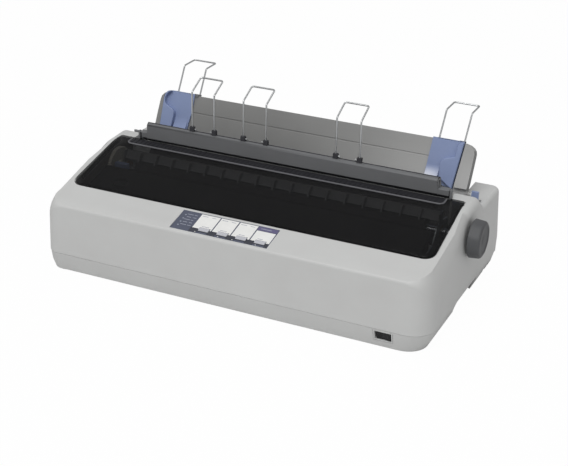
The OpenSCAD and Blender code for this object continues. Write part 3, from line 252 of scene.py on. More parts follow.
def piece(bm, name, material, body, stands_for=(), sharp=38, bevel=0, segments=2):
    """Turns a mesh in millimetres into a finished object that rides on a body."""
    bmesh.ops.remove_doubles(bm, verts=bm.verts, dist=0.003)
    bmesh.ops.recalc_face_normals(bm, faces=bm.faces)
    bmesh.ops.scale(bm, vec=(0.001, 0.001, 0.001), verts=bm.verts)
    for f in bm.faces:
        f.smooth = True
    for e in bm.edges:
        e.smooth = bool(bevel) or (e.is_manifold and e.calc_face_angle(0) < math.radians(sharp))
    mesh = bpy.data.meshes.new(name)
    bm.to_mesh(mesh)
    bm.free()
    obj = bpy.data.objects.new(name, mesh)
    bpy.context.scene.collection.objects.link(obj)
    for m in material if isinstance(material, (list, tuple)) else [material]:
        mesh.materials.append(m)
    if bevel:
        edge = obj.modifiers.new("moulded_edges", "BEVEL")
        edge.width, edge.segments = bevel / 1000, segments
        edge.limit_method, edge.angle_limit = "ANGLE", math.radians(sharp)
        edge.harden_normals = False
    even = obj.modifiers.new("even_normals", "WEIGHTED_NORMAL")
    even.keep_sharp = True
    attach(obj, body)
    if stands_for:
        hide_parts(*stands_for)


def moulded(name, dark, light, roughness, grain=1.5, depth=0.04, patch=50, shine=0.4):
    """A moulded plastic: grain and patch are sizes in millimetres, depth the relief."""
    material, tree, shader = new_material(name)
    shader.inputs["Specular IOR Level"].default_value = shine
    place = add(tree, "TexCoord").outputs["Object"]
    cloud = add(tree, "TexNoise", {"Scale": 1000 / patch, "Detail": 3}, {"Vector": place})
    tint = add(tree, "Mix", {"data_type": "RGBA", 6: paint(dark), 7: paint(light)}, {0: cloud.outputs["Fac"]})
    spark = add(tree, "TexNoise", {"Scale": 1000 / grain, "Detail": 2}, {"Vector": place})
    relief = add(tree, "Bump", {"Strength": 0.35, "Distance": depth / 1000}, {"Height": spark.outputs["Fac"]})
    gloss = add(tree, "MapRange", {"To Min": roughness - 0.06, "To Max": roughness + 0.06},
                {"Value": cloud.outputs["Fac"]})
    tree.links.new(tint.outputs[2], shader.inputs["Base Color"])
    tree.links.new(gloss.outputs[0], shader.inputs["Roughness"])
    tree.links.new(relief.outputs[0], shader.inputs["Normal"])
    return material


# ABS with a spark-eroded texture: matt and even, with a faint mottle. The real
# grain is 0.2 mm; it is drawn 1.5 mm wide so that it shows.
case_plastic = moulded("abs_light_grey", "#c6c6c5", "#cecfce", 0.46)

upper = bmesh.new()
corner_r, rear_r, round_w, draft, front_lean, steps = 29, 12, 8.5, 0.0723, 3, 6
breaks = [y for y, z in crest] + [30, 54, 58, 62, 100, -40, -80]
edges = plan(half_w, front_y + front_lean, rear_y, corner_r, rear_r, breaks)
rings = [[Vector((p.x, p.y, z)) for p, inward in edges] for z in (seam_z, 50)]
for step in range(steps + 1):
    ring = []
    for p, inward in edges:
        soft = 0.55 if p.y > 58 else 1 - 0.6 * max(0, inward.x, inward.y if p.y < 0 else 0)
        # towards the front the side's rounding stops short, in a crisp edge with the slope
        crisp = max(0, -inward.x) * held((8 - p.y) / 45)
        crisp_w = 4 + 3.4 * held((-52 - p.y) / 70)
        inset = round_w * soft * (1 - crisp) + crisp_w * crisp
        last = math.radians(90 - 70 * crisp)
        radius = inset / (1 - math.cos(last))
        a = last * step / steps
        q = p + inward * radius * (1 - math.cos(a))
        drop = radius * (1.18 - 0.18 * crisp) * (math.sin(last) - math.sin(a))
        q.z = crest_z((p + inward * inset).y) - drop
        ring.append(q)
    rings.append(ring)
for ring in rings:
    for q in ring:
        q.x *= (half_w - draft * (q.z - seam_z)) / half_w
        if q.y < -100:
            q.y -= front_lean * (q.z - seam_z) / (front_z - seam_z) * held((-100 - q.y) / 30)
loft(upper, rings)


def settle(bm):
    """Gives the left front corner its tighter turn and draws the right side in at its foot."""
    tighter, drawn_in = 7, 3.4
    for v in bm.verts:
        out = Vector((v.co.x + half_w - corner_r, v.co.y - front_y - corner_r, 0))
        if out.x < 0 and out.y < 0:
            out.normalize()
            v.co += out * tighter * (abs(out.x) + abs(out.y) - 1)
        if v.co.x > 200:
            v.co.x -= drawn_in * held((60 - v.co.z) / 33)


settle(upper)
upper = modified(upper, "SOLIDIFY", thickness=wall, offset=-1, use_even_offset=True)

# the cover's well and its taper, then the openings behind it
well_x, well_y, well_end, well_taper = 250.2, -96, 31, 2.6
slot_x, deck_z, deck_y, over = 227, 94, 100, 200
cutter = bmesh.new()
well_end_x = well_x - well_taper
well = [(-well_x, well_y), (well_x, well_y), (well_end_x, well_end), (-well_end_x, well_end)]
prism(cutter, well, "z", 60, over)
soften(cutter, along(cutter, "z", lambda p: p.y < 0), 15, 8)
soften(cutter, along(cutter, "z", lambda p: p.y > 0), 4, 4)
upper = carve(upper, cutter)
for low, high in (((-slot_x, 20, 60), (slot_x, deck_y, over)),                      # paper slot
                  ((-slot_x, deck_y - 1, deck_z), (slot_x, rear_y + 3, over)),      # sunk rear deck
                  ((241.5, 61, 105), (252.5, 83, 160)),                             # release lever
                  ((122.5, 130, 38.5), (177.5, 150, 53.5)),                         # interface connector
                  ((-191.5, 130, 36), (-164.5, 150, 56)),                           # mains inlet
                  ((-206, 130, 75.5), (206, 150, 84.5))):                           # rear paper entry
    cutter = bmesh.new()
    block(cutter, low, high)
    upper = carve(upper, cutter)
platen_y, platen_z = 6, 98.6
cutter = bmesh.new()
pin(cutter, 262, platen_y, platen_z, 6.2, 30, 40)
upper = carve(upper, cutter)
# the recess for the operation panel, in the slope's own plane
panel_x, panel_y, panel_w, panel_d = -78, 5, 133, 38.5
tip = Matrix.Translation((0, front_y, front_z)) @ Matrix.Rotation(math.atan(slope), 4, "X")
cutter = bmesh.new()
block(cutter, (panel_x - 0.2, panel_y - 0.2, -0.6), (panel_x + panel_w + 0.2, panel_y + panel_d + 0.3, 6))
bmesh.ops.transform(cutter, matrix=tip, verts=cutter.verts)
upper = carve(upper, cutter)
upper = break_edges(upper, 0.8)
# rims of the well, cheeks of the slot and the sunk deck, standing inside the shell
rim_y, rim_h = -98, 12
rim_places = (rim_y, rim_h), (0, rim_h), (44, rim_h), (44, 1.6), (14, 1.4), (0, 1.6), (rim_y, 1.6)
rim = [(y, crest_z(y) - d) for y, d in rim_places]
cheek = [(29, deck_z - wall), (29, 132), (46, 132.4), (50, 131.6), (64.6, 115.2), (rear_y - 3, 115.2),
         (rear_y - 3, deck_z - wall)]
pin_block = [(84.2, 113), (91.8, 113), (91.8, 120.5), (89.6, 123.3), (86.4, 123.3), (84.2, 120.5)]
for side in (-1, 1):
    for x0, x1, outline in ((well_x - 2, well_x + 0.6, rim), (slot_x + 0.01, slot_x + wall, cheek),
                            (236.6, 241.6, pin_block)):
        prism(upper, outline, "x", side * x0, side * x1)
block(upper, (-well_x, rim_y - 0.6, crest_z(rim_y) - rim_h), (well_x, well_y, crest_z(rim_y) - 1.2))
block(upper, (-slot_x, deck_y, deck_z - wall), (slot_x, rear_y - 2, deck_z - 0.02))
piece(upper, "case_top", case_plastic, "case", ["upper_case"])


# Lower case: the same ABS. Its walls taper in towards the foot, less so on the left,
# with an arch on each side for the hands, a smaller one behind it and five rubber feet.
def join(bm, other):
    """Adds the second mesh to the first."""
    mesh = bpy.data.meshes.new("part")
    other.to_mesh(mesh)
    other.free()
    bm.from_mesh(mesh)


arches = [(side, y0, y1, z1) for side in (-1, 1) for y0, y1, z1 in ((-30, 58, 23), (92, 122, 15))]
lower = bmesh.new()
edges = plan(half_w, front_y, rear_y, corner_r - 1, rear_r)
rings = []
for z, half, front in ((1.2, 257.4, -132.2), (3, 258, -132.8), (11, 262.5, -134.8),
                       (seam_z - 0.5, 266.6, -138.9)):
    rings.append([Vector((p.x * half / half_w, p.y if p.y > 0 else p.y * front / front_y, z))
                  for p, inward in edges])
loft(lower, rings, high_cap=False)
# the left wall keeps most of its width down to the foot
foot_taper = 0.37
for v in lower.verts:
    if v.co.x < 0:
        v.co.x -= 0.8 * (foot_taper * (seam_z - v.co.z) - 0.8) * min(1, -v.co.x / 200)
settle(lower)
lower = modified(lower, "SOLIDIFY", thickness=wall, offset=-1, use_even_offset=True)
cutter = bmesh.new()
for side, y0, y1, z1 in arches:
    block(cutter, (min(side * 240, side * 275), y0, -20), (max(side * 240, side * 275), y1, z1))
soften(cutter, along(cutter, "x", lambda p: p.z > 0), 8, 6)
lower = carve(lower, cutter)
switch_x = 208
cutter = bmesh.new()
block(cutter, (switch_x - 12.6, -150, 9.8), (switch_x + 12.6, -126, 25.2))
soften(cutter, along(cutter, "y"), 1.2, 3)
lower = carve(lower, cutter)
lower = break_edges(lower, 0.9)
# the floor plate, cut out for the arches, and the walls and ceiling of each arch
plate_z, pocket_x = 4, 237.5
plate = bmesh.new()
prism(plate, [(-255, -129), (252.5, -129), (252.5, 139), (-255, 139)], "z", plate_z, plate_z + 3)
soften(plate, along(plate, "z"), 14, 6)
cutter = bmesh.new()
for side, y0, y1, z1 in arches:
    block(cutter, (min(side * pocket_x, side * 275), y0, -20), (max(side * pocket_x, side * 275), y1, z1))
join(lower, carve(plate, cutter))
for side, y0, y1, z1 in arches:
    pocket = bmesh.new()
    block(pocket, (min(side * pocket_x, side * 262), y0, plate_z), (max(side * pocket_x, side * 262), y1, z1))
    for v in pocket.verts:
        # its open end follows the inside of the wall, which leans more on the right
        if abs(v.co.x) > 240:
            v.co.x = 252.4 + 0.36 * v.co.z if side > 0 else -262.4 - 0.1 * v.co.z
    soften(pocket, along(pocket, "x", lambda p: p.z > 10), 7, 5)
    open_faces = [f for f in pocket.faces if f.normal.z < -0.9 or side * f.normal.x > 0.9]
    bmesh.ops.delete(pocket, geom=open_faces, context="FACES")
    join(lower, modified(pocket, "SOLIDIFY", thickness=2, offset=1, use_even_offset=True))
piece(lower, "case_bottom", case_plastic, "case", ["lower_case"])


def coat(material, *nodes):
    """Gives CAD nodes that are shown as they are a material."""
    for name in nodes:
        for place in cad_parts[name].material_slots:
            place.material = material


# natural rubber, ground matt, a little dusty
coat(moulded("foot_rubber", "#1c1c1c", "#2a2a2a", 0.85, 2, 0.06, 8), "rubber_feet")


# Operation panel: a polycarbonate overlay with a printed back, 0.8 mm thick, glued
# into a shallow recess of the slope. Slate border, four white fields, no lettering.
def ink(name, dark, light):
    """Print on the back of a clear film: even, satin, a little uneven in density."""
    return moulded(name, dark, light, 0.4, 3, 0.01, 12, 0.5)


inks = [ink("overlay_slate", "#4f5462", "#575c70"), ink("overlay_white", "#e8e8e6", "#f4f4f2"),
        ink("overlay_dark", "#34363f", "#3c3e48"), ink("overlay_grey", "#9a9dab", "#a9acb8"),
        ink("overlay_mauve", "#5c5875", "#67628a")]
slate, white, dark, grey, mauve = range(5)
panel = bmesh.new()


def tile(u0, v0, u1, v1, layer, color):
    """A printed area of the panel, from its front left corner, a film layer up."""
    low = 0 if layer else -0.55
    block(panel, (u0 + panel_x, v0 + panel_y, low), (u1 + panel_x, v1 + panel_y, 0.2 + 0.07 * layer))
    panel.faces.ensure_lookup_table()
    for f in panel.faces[-6:]:
        f.material_index = color


tile(0, 0, panel_w, panel_d, 0, slate)
for left, end in ((26.8, 52.8), (54.4, 78.7), (80.3, 104.8)):
    tile(left, 8.6, end, 37.4, 1, white)
tile(106.4, 8.6, 131.8, 29.6, 1, white)
tile(106, 30.6, 132.4, 37.6, 1, mauve)
tile(110, 33.4, 124, 34.6, 2, grey)
key_places = [43.6 + 25.5 * i for i in range(4)]
for u in key_places:
    tile(u - 8.2, 3.6, u + 8.2, 8.9, 1, dark)
    tile(u - 7.4, 4.4, u + 7.4, 12.4, 2, dark)
for u in key_places:
    tile(u - 18.5, 1.2, u - 7.8, 9.4, 2, dark)
tile(127.6, 1.2, 132, 9.0, 2, dark)
# plain dashes where a legend would be
row_gap, dash_h = 5.2, 0.8
for row in range(5):
    low = 11 + row_gap * row
    tile(9 + row % 2, low, 17 - row % 2, 11.9 + row_gap * row, 1, grey)
    tile(18.5, low, 23.5 - row % 3, 11.9 + row_gap * row, 1, grey)
for u in (29, 56.5, 82.5):
    tile(u, 33.6, u + 8, 33.6 + dash_h, 2, grey)
    tile(u + 13, 33.6, u + 19, 33.6 + dash_h, 2, grey)
for i, u in enumerate(key_places):
    tile(u - 6, 14.2, u + 4 - i, 14.2 + dash_h, 2, grey)
    tile(u - 10 + 6 * (i % 2), 1.9, u - 8.6 + 6 * (i % 2), 2.8, 3, white)
bmesh.ops.transform(panel, matrix=tip, verts=panel.verts)
piece(panel, "panel_overlay", inks, "case", ["operation_panel"])
# epoxy lenses of lights that are off
coat(ink("led_lens_clear", "#8d93a2", "#a2a7b4"), "indicator_lights")

# the four keys: small ABS caps with a smoother, cooler grey than the case
key_plastic = moulded("abs_key_grey", "#bcbdc4", "#c8c9cf", 0.45, 1.5, 0.02, 10)
for i, u in enumerate(key_places):
    key = bmesh.new()
    block(key, (u + panel_x - 7, 10, -2.5), (u + panel_x + 7, 17, 1.2))
    for v in key.verts:
        if v.co.z > 0:
            v.co.y += 0.5 if v.co.y < 13 else -0.3
    bmesh.ops.transform(key, matrix=tip, verts=key.verts)
    button = f"button_{i + 1}"
    piece(key, f"key_{i + 1}", key_plastic, button, [button], bevel=0.7, segments=3)


# Printer cover: smoked polycarbonate, injection moulded 2.8 mm thick with a polished
# face. It turns on two pins at its rear and lies 2 mm proud of the case.
smoke, tree, shader = new_material("polycarbonate_smoked")
place = add(tree, "TexCoord").outputs["Object"]
# half clear, near black in the body, with clouds of wear 40 mm long in its polish
wear = add(tree, "TexNoise", {"Scale": 25, "Detail": 4}, {"Vector": place})
tint = add(tree, "Mix", {"data_type": "RGBA", 6: paint("#131314"), 7: paint("#1a1a1b")},
           {0: wear.outputs["Fac"]})
gloss = add(tree, "MapRange", {"To Min": 0.16, "To Max": 0.3}, {"Value": wear.outputs["Fac"]})
tree.links.new(tint.outputs[2], shader.inputs["Base Color"])
tree.links.new(gloss.outputs[0], shader.inputs["Roughness"])
shader.inputs["Specular IOR Level"].default_value = 0.16
shader.inputs["Alpha"].default_value = 0.5
cover = bmesh.new()
cover_x, cover_y, cover_end, proud, cover_t, cover_taper = 249.2, -94.2, 28, 2, 2.8, 0.0105
edges = plan(cover_x, cover_y, cover_end, 14.5, 3, [y for y, z in crest] + [-60, -30, -15, 20])


def cover_ring(inset, rise):
    """A ring of the cover's edge, set in from its outline and raised from the case's top."""
    ring = []
    for p, inward in edges:
        q = p + inward * inset
        q.x *= 1 - cover_taper * (q.y - cover_y) / (cover_end - cover_y)
        q.z = crest_z(q.y) + rise
        ring.append(q)
    return ring


loft(cover, [cover_ring(0.5, proud - cover_t), cover_ring(0, proud - cover_t + 0.4), cover_ring(0, proud - 1),
             cover_ring(0.3, proud - 0.3), cover_ring(1.1, proud)], low_cap=True)
# a skirt under each side stiffens it and carries the pin
pin_y = 19.5
skirt = [(y, crest_z(y) - d) for y, d in ((-75, 6), (0, 6), (pin_y, 5), (pin_y, 0.6), (0, 0.6), (-75, 0.6))]
for side in (-1, 1):
    prism(cover, skirt, "x", side * (cover_x - 5), side * (cover_x - 3.4))
    pin(cover, side * (cover_x - 3), pin_y, 131, 2.4, 5)
piece(cover, "cover_smoked", smoke, "printer_cover", ["printer_cover"], sharp=50)


# Tear-off edge: a ribbed ABS strip glued on the cover, with a raised bead round its
# front and ends against which paper is torn.
def sweep(bm, points, radius, bend, sides=12):
    """A round bar along a path, with its corners turned on a bend radius."""
    path, turns = [Vector(points[0])], 6
    for a, b, c in zip(points, points[1:], points[2:]):
        a, b, c = Vector(a), Vector(b), Vector(c)
        into, out = (b - a).normalized(), (c - b).normalized()
        angle = into.angle(out, 0)
        if angle < 0.02:
            path.append(b)
            continue
        back = bend * math.tan(angle / 2)
        start = b - into * back
        centre = start + (out - into * out.dot(into)).normalized() * bend
        axis = into.cross(out).normalized()
        for i in range(turns + 1):
            path.append(centre + Matrix.Rotation(angle * i / turns, 3, axis) @ (start - centre))
    path.append(Vector(points[-1]))
    loops, up_vector = [], None
    for i, p in enumerate(path):
        ahead_way = (path[min(i + 1, len(path) - 1)] - path[max(i - 1, 0)]).normalized()
        if up_vector is None:
            up_vector = ahead_way.orthogonal().normalized()
        up_vector = (up_vector - ahead_way * up_vector.dot(ahead_way)).normalized()
        side_way = ahead_way.cross(up_vector)
        loop = []
        for k in range(sides):
            t = 2 * math.pi * k / sides
            loop.append(bm.verts.new(p + (up_vector * math.cos(t) + side_way * math.sin(t)) * radius))
        loops.append(loop)
    for a, b in zip(loops, loops[1:]):
        for k in range(sides):
            bm.faces.new((a[k], a[(k + 1) % sides], b[(k + 1) % sides], b[k]))
    bm.faces.new(loops[0])
    bm.faces.new(loops[-1])


def finish_new(bm, old, index):
    """Gives another of the piece's materials to the faces that are not among the old ones."""
    for f in bm.faces:
        if f not in old:
            f.material_index = index


# satin black, greyed on the bead where paper has rubbed it
tear_plastic = moulded("abs_satin_black", "#26262a", "#303034", 0.5, 2, 0.05, 20, 0.2)
bead_plastic = moulded("abs_worn_grey", "#606063", "#6e6e72", 0.45, 2, 0.03, 20, 0.3)
tear = bmesh.new()
tear_x, tear_y, tear_end, ribs = 225, 6.5, 21.5, 70


def on_cover(places):
    """An outline in Y, with its heights taken from the cover's face."""
    return [(y, crest_z(y) + proud + d) for y, d in places]


strip = on_cover([(tear_y, -0.05), (14, -0.05), (tear_end, -0.05), (tear_end, 0.9), (14, 0.9), (tear_y, 0.9)])
prism(tear, strip, "x", -tear_x + 1, tear_x - 1)
rib_y, rib_end = tear_y + 3.5, tear_end - 1.5
rib = on_cover([(rib_y, 0.8), (rib_end, 0.8), (rib_end, 1.5), (rib_y, 1.5)])
for i in range(ribs):
    x = -tear_x + 5 + i * (2 * tear_x - 10) / (ribs - 1)
    prism(tear, rib, "x", x - 0.9, x + 0.9)
old = set(tear.faces)
rise = proud + 0.6
route = [(-tear_x, tear_end, crest_z(tear_end) + rise), (-tear_x, tear_y, crest_z(tear_y) + rise),
         (tear_x, tear_y, crest_z(tear_y) + rise), (tear_x, tear_end, crest_z(tear_end) + rise)]
sweep(tear, route, 1.1, 6, 10)
finish_new(tear, old, 1)
piece(tear, "tear_edge_strip", [tear_plastic, bead_plastic], "printer_cover", ["tear_off_edge"])


# Guide cover: a dark grey ABS channel over the paper slot, with low stepped ends that carry its pins, a black
# sheet along its back as painted shadow for the gap under it, and a clamp for each foot of the loops.

# satin dark grey, and a very matt black with a soft nap, for the clamps and for painted shadow along its back
# and top
dark_plastic = moulded("abs_dark_grey", "#6d6e70", "#77787a", 0.5, 1.6, 0.08, 30, 0.3)
black_and_painted_shadow = moulded("matt_black_painted_shadow", "#3a3a3d", "#46464a", 0.95, 1.2, 0.2, 6, 0.1)
bar = bmesh.new()
bar_x0, bar_x1, low_x0, low_x1 = -207.5, 212, -216, 226
bar_y, bar_end, bar_low, bar_top, ends_top, bar_wall = 24.5, 34, 138.9, 158.6, 146.6, 2.4
profile = [(bar_y, bar_low), (23.2, bar_top - 1.6), (25, bar_top), (bar_end, bar_top), (bar_end, bar_low + 2),
           (bar_end - bar_wall, bar_low + 2), (bar_end - bar_wall, bar_top - bar_wall),
           (25.6, bar_top - bar_wall), (bar_y + bar_wall, bar_low)]
prism(bar, profile, "x", bar_x0, bar_x1)
low_profile = [(bar_y, bar_low), (23.6, ends_top), (bar_end, ends_top), (bar_end, bar_low)]
for side, end, low_end in ((-1, bar_x0, low_x0), (1, bar_x1, low_x1)):
    prism(bar, profile[:5], "x", end - bar_wall * side, end)
    prism(bar, low_profile, "x", end - 0.1 * side, low_end)
    pin(bar, side * 222, 29.5, 144.3, 1.7, 13)
# the left end is cut on a slant
for v in bar.verts:
    if v.co.x < bar_x0 + 3:
        v.co.x += 4.5 * (bar_end - v.co.y) / 12.5
# in black: a strip on its top and a sheet along its back, painted shadow for the dark lines there, and the
# clamps
old = set(bar.faces)
block(bar, (bar_x0 + 3, 30.8, bar_top - 1), (bar_x1 - 2, 33.6, bar_top + 0.35))
block(bar, (low_x0, 32.8, 132.3), (low_x1, bar_end, bar_low + 2.2))
loop_places, foot, clamp_w = (-120.5, -44.5, 87.5), 16.5, 3.3
for x in loop_places:
    for clamp_x in (x - foot, x + foot):
        block(bar, (clamp_x - clamp_w, 28.4, bar_top - 0.2), (clamp_x + clamp_w, 33.4, bar_top + 6.6))
finish_new(bar, old, 1)
piece(bar, "guide_cover_bar", [dark_plastic, black_and_painted_shadow], "guide_cover", ["guide_cover"], bevel=0.7)
# the two ears that its pins turn in, moulded apart and pushed up through the case
ears, ear_low, ear_foot = bmesh.new(), 131.2, 133.4
ear = [(26.6, 133), (26.9, 144.5), (28.2, ends_top), (30.8, ends_top), (32.1, 144.5), (bar_end, ear_low),
       (29.2, ear_low)]
foot_plate = [(29.2, ear_low), (29.2, ear_foot), (bar_end, ear_foot), (bar_end, ear_low)]
for inner, outer in ((low_x0 - 0.6, -227.3), (low_x1 + 0.6, 229.6)):
    prism(ears, ear, "x", inner, inner + math.copysign(2.2, outer))
    prism(ears, foot_plate, "x", inner, outer)
piece(ears, "guide_cover_ears", dark_plastic, "case", bevel=0.4)

# cold-drawn steel wire of 2.3 mm, bright with nickel plating, bent on a small former
steel_wire, tree, shader = new_material("steel_nickel_plated")
shader.inputs["Metallic"].default_value = 1
place = add(tree, "TexCoord").outputs["Object"]
drawn = add(tree, "TexNoise", {"Scale": 300, "Detail": 2}, {"Vector": place})
tint = add(tree, "Mix", {"data_type": "RGBA", 6: paint("#c2c4c5"), 7: paint("#d4d6d7")},
           {0: drawn.outputs["Fac"]})
tree.links.new(tint.outputs[2], shader.inputs["Base Color"])
shader.inputs["Roughness"].default_value = 0.28
wire_r, bend_r = 1.15, 2.8
foot_y, back_y, hook = 31, 56.2, 6
foot_z, bend_z, top_z = bar_top + 3, bar_top + 55, bar_top + 67.75
for name, x in zip(("left", "middle", "right"), loop_places):
    wire = bmesh.new()
    route = [(x - foot + hook, foot_y, foot_z), (x - foot, foot_y, foot_z), (x - foot, foot_y, bend_z),
             (x - foot, back_y, top_z), (x + foot, back_y, top_z),
             (x + foot, foot_y, bend_z), (x + foot, foot_y, foot_z), (x + foot - hook, foot_y, foot_z)]
    sweep(wire, route, wire_r, bend_r)
    piece(wire, f"wire_loop_{name}", steel_wire, f"loop_{name}", [f"loop_{name}"], sharp=60)


# Sheet guide: a grey ABS plate with a line moulded across it and a thick post at each
# end. It leans back on two pins of its own, which turn in blocks of the upper case.

# a matt mid grey with the case's grain; the face of its right end gets a darker copy, painted shade for the
# side turned from the lamps
grey_plastic = moulded("abs_mid_grey", "#858584", "#8d8d8c", 0.5, 1.6, 0.06, 60, 0.3)


def paint_paler(material, pale, axis_ranges):
    """Paints a plastic's colour paler across ranges of X, Y or Z, given in metres: painted light."""
    tree = material.node_tree
    shader = tree.nodes["Principled BSDF"]
    place = add(tree, "SeparateXYZ", {}, {0: add(tree, "TexCoord").outputs["Object"]})
    share = None
    for axis, start, end in axis_ranges:
        settings = {"interpolation_type": "SMOOTHSTEP", "From Min": start, "From Max": end}
        ramp = add(tree, "MapRange", settings, {"Value": place.outputs[axis]}).outputs[0]
        if share is not None:
            ramp = add(tree, "Math", {"operation": "MULTIPLY"}, {0: share, 1: ramp}).outputs[0]
        share = ramp
    old = shader.inputs["Base Color"].links[0].from_socket
    tint = add(tree, "Mix", {"data_type": "RGBA", 7: paint(pale)}, {0: share, 6: old})
    tree.links.new(tint.outputs[2], shader.inputs["Base Color"])


# painted light: its right half and its foot are painted paler, standing in for light reflected off its satin
# face
paint_paler(grey_plastic, "#a2a2a1", [("X", -0.06, 0.24)])
paint_paler(grey_plastic, "#bcbcbb", [("X", -0.02, 0.22), ("Z", 0.185, 0.125)])
# drawn upright about its pins, then leant back; each end's outline runs from left to right
leaning = Matrix.Translation((0, 88, 119.5)) @ Matrix.Rotation(math.radians(-20.9), 4, "X")
half_t, post_y, post_low = 2.5, -10.5, 5
left_end = [(-231, -1.4), (-230.1, 16), (-229, 34), (-227.8, 49), (-226.6, 55), (-223, 59), (-219, 61.6),
            (-213.5, 62.6)]
right_end = [(214, 63), (220, 62.5), (226, 61), (230.5, 58.4), (233.3, 55), (234.3, 50.5), (234, 40),
             (232.8, 12), (231.5, -1.4)]
sheet = bmesh.new()
prism(sheet, left_end + right_end, "y", -half_t, half_t)
cutter = bmesh.new()
block(cutter, (-207, -4, 37.4), (207, -1.7, 39.4))
sheet = carve(sheet, cutter)
right_post = [(214.6, post_low), (220.3, 62.4)] + right_end[2:-1] + [(232.2, post_low)]
left_post = [(-225.9, post_low), (-224.6, 34), (-223.4, 49), (-221, 56), (-220.8, post_low)]
left_lip = [(-221.2, post_low), (-221.2, 56), (-218.4, 57.5), (-218.4, post_low)]
for outline, end_y in ((right_post, -2.4), (left_post, -2.4), (left_lip, -5.6)):
    prism(sheet, outline, "y", post_y, end_y)
for side in (-1, 1):
    pin(sheet, side * 235, 0, 0, 2.1, 11)
bmesh.ops.recalc_face_normals(sheet, faces=sheet.faces)
# painted shade: the outward face of the right end takes the darker copy of the grey
for f in sheet.faces:
    if f.normal.x > 0.8 and f.calc_center_median().x > 228:
        f.material_index = 1
bmesh.ops.transform(sheet, matrix=leaning, verts=sheet.verts)
end_painted_shade = moulded("abs_mid_grey_painted_shade", "#7b7b7a", "#858584", 0.5, 1.6, 0.06, 60, 0.3)
piece(sheet, "sheet_guide_plate", [grey_plastic, end_painted_shade], "sheet_guide", ["sheet_guide"],
      bevel=0.8)


# Edge guides: blue ABS slides that hang over the sheet guide's top and square up the
# paper's edges. Each has a scooped face, and a wire support slides down behind it.

# powder blue with a faint sheen; a copy painted almost white towards the foot is a painted highlight for the
# lamp's reflection on the right one's foot
blue_plastic = moulded("abs_powder_blue", "#8291b5", "#8f9cc0", 0.42, 1.6, 0.03, 25, 0.4)
blue_painted_highlight = moulded("abs_powder_blue_painted_highlight", "#8291b5", "#8f9cc0", 0.32, 1.6, 0.02, 25, 0.5)
paint_paler(blue_painted_highlight, "#e6e9f2", [("Z", 0.1475, 0.133), ("X", 0.205, 0.176)])
# outlines in the sheet guide's own plane, before it leans: X and the height over its pins
plates = {"left": [(-178.5, 9), (-177.7, 17), (-174.7, 39.3), (-174.6, 46), (-174.2, 64.4), (-209, 64.4),
                   (-214, 63.4), (-218.2, 58.5), (-220, 52), (-220, 9)],
          "right": [(171.6, 9), (175.1, 64.5), (217.4, 64.5), (216.5, 58), (210.4, 2.5)]}
# the raised part of each face: its outer edge, then its edge along the scoop
raised = {"left": [(-209, 64.3), (-213.6, 62.8), (-216.6, 58.6), (-217.8, 53), (-217.8, 9), (-200.2, 9),
                   (-200, 15.6), (-198.7, 32.6), (-199.4, 36.4), (-202, 39), (-206.3, 41), (-211.5, 43.4),
                   (-214.5, 45.6), (-215.9, 49), (-215.9, 53.5), (-214.6, 57.8), (-212, 61.2), (-209, 62.8)],
          "right": [(216.8, 64.4), (218.6, 62.4), (212.5, 2.5), (208.4, 3.5), (192.9, 14), (191, 30.5),
                    (192.4, 35.4), (195.4, 39), (200, 41), (208.6, 43.2), (209.6, 46), (210, 55), (211.2, 60),
                    (214, 62.8)]}
# the X of each wire's left foot, its lean in degrees, how far its top runs back, its splay
wires = {"left": (-206.7, 22.3, 28.6, 0.07), "right": (179.1, 23.9, 32.1, 0.064)}
plate_front, plate_back, hook_y, face_y, top_h, legs_gap, wire_h = -5.2, -2.8, 6, -12, 64.5, 34.1, 57.7
for name in ("left", "right"):
    body = f"{name}_edge_guide"
    edge = bmesh.new()
    prism(edge, plates[name], "y", plate_front, plate_back)
    face = bmesh.new()
    prism(face, raised[name], "y", face_y, -5)
    soften(face, [e for e in face.edges if all(v.co.y < -11 for v in e.verts)], 2.2, 5)
    join(edge, face)
    legs, lean, back, splay = wires[name]
    # over the sheet guide's top and down its back
    hook_x, hook_end = min(x for x, z in plates[name]) + 10, max(x for x, z in plates[name]) - 1
    block(edge, (hook_x, plate_front, 63.1), (hook_end, hook_y, top_h))
    block(edge, (hook_x, -plate_back, 37), (hook_end, hook_y, top_h))
    # the foot of the scoop curves forward to lead the paper in; the right one's foot carries the painted
    # highlight
    ramp = [(-5.1 - 0.0172 * (30 - z) ** 2, z) for z in (30, 26, 22, 18, 14, 10)] + [(-5.1, 10)]
    old = set(edge.faces)
    prism(edge, ramp, "x", *((173, 190.5) if name == "right" else (-198.5, -179)))
    if name == "right":
        finish_new(edge, old, 2)
    # the clip at the wire's right foot
    old = set(edge.faces)
    clip_x, clip_w = legs + legs_gap, 3.2
    block(edge, (clip_x - clip_w, -3.6, 60.6), (clip_x + clip_w, 6.4, top_h + 0.5))
    finish_new(edge, old, 1)
    bmesh.ops.transform(edge, matrix=leaning, verts=edge.verts)
    piece(edge, f"edge_guide_{name}", [blue_plastic, dark_plastic, blue_painted_highlight], body, [body],
          bevel=0.9, segments=3)
    wire = bmesh.new()
    foot_at, across = leaning @ Vector((legs, 4.4, 44)), Vector((legs_gap, 0, 0))
    bend_at = foot_at + wire_h * Vector((splay, math.sin(math.radians(lean)), math.cos(math.radians(lean))))
    back_at = bend_at + Vector((0, back, 0))
    route = [foot_at, bend_at, back_at, back_at + across, bend_at + across, foot_at + across]
    sweep(wire, route, wire_r, bend_r)
    body = f"{name}_support_wire"
    piece(wire, f"paper_support_{name}", steel_wire, body, [body], sharp=60)


# Feed knob: a dark grey ABS moulding, 17 mm thick, with eight soft flats for the
# fingers. It is pressed on the end of the platen's shaft, outside the case.
knob_plastic = moulded("abs_knob_grey", "#515254", "#595a5c", 0.5, 1.6, 0.05, 20, 0.3)
knob, loops, around, half_flat = bmesh.new(), [], 96, math.pi / 8
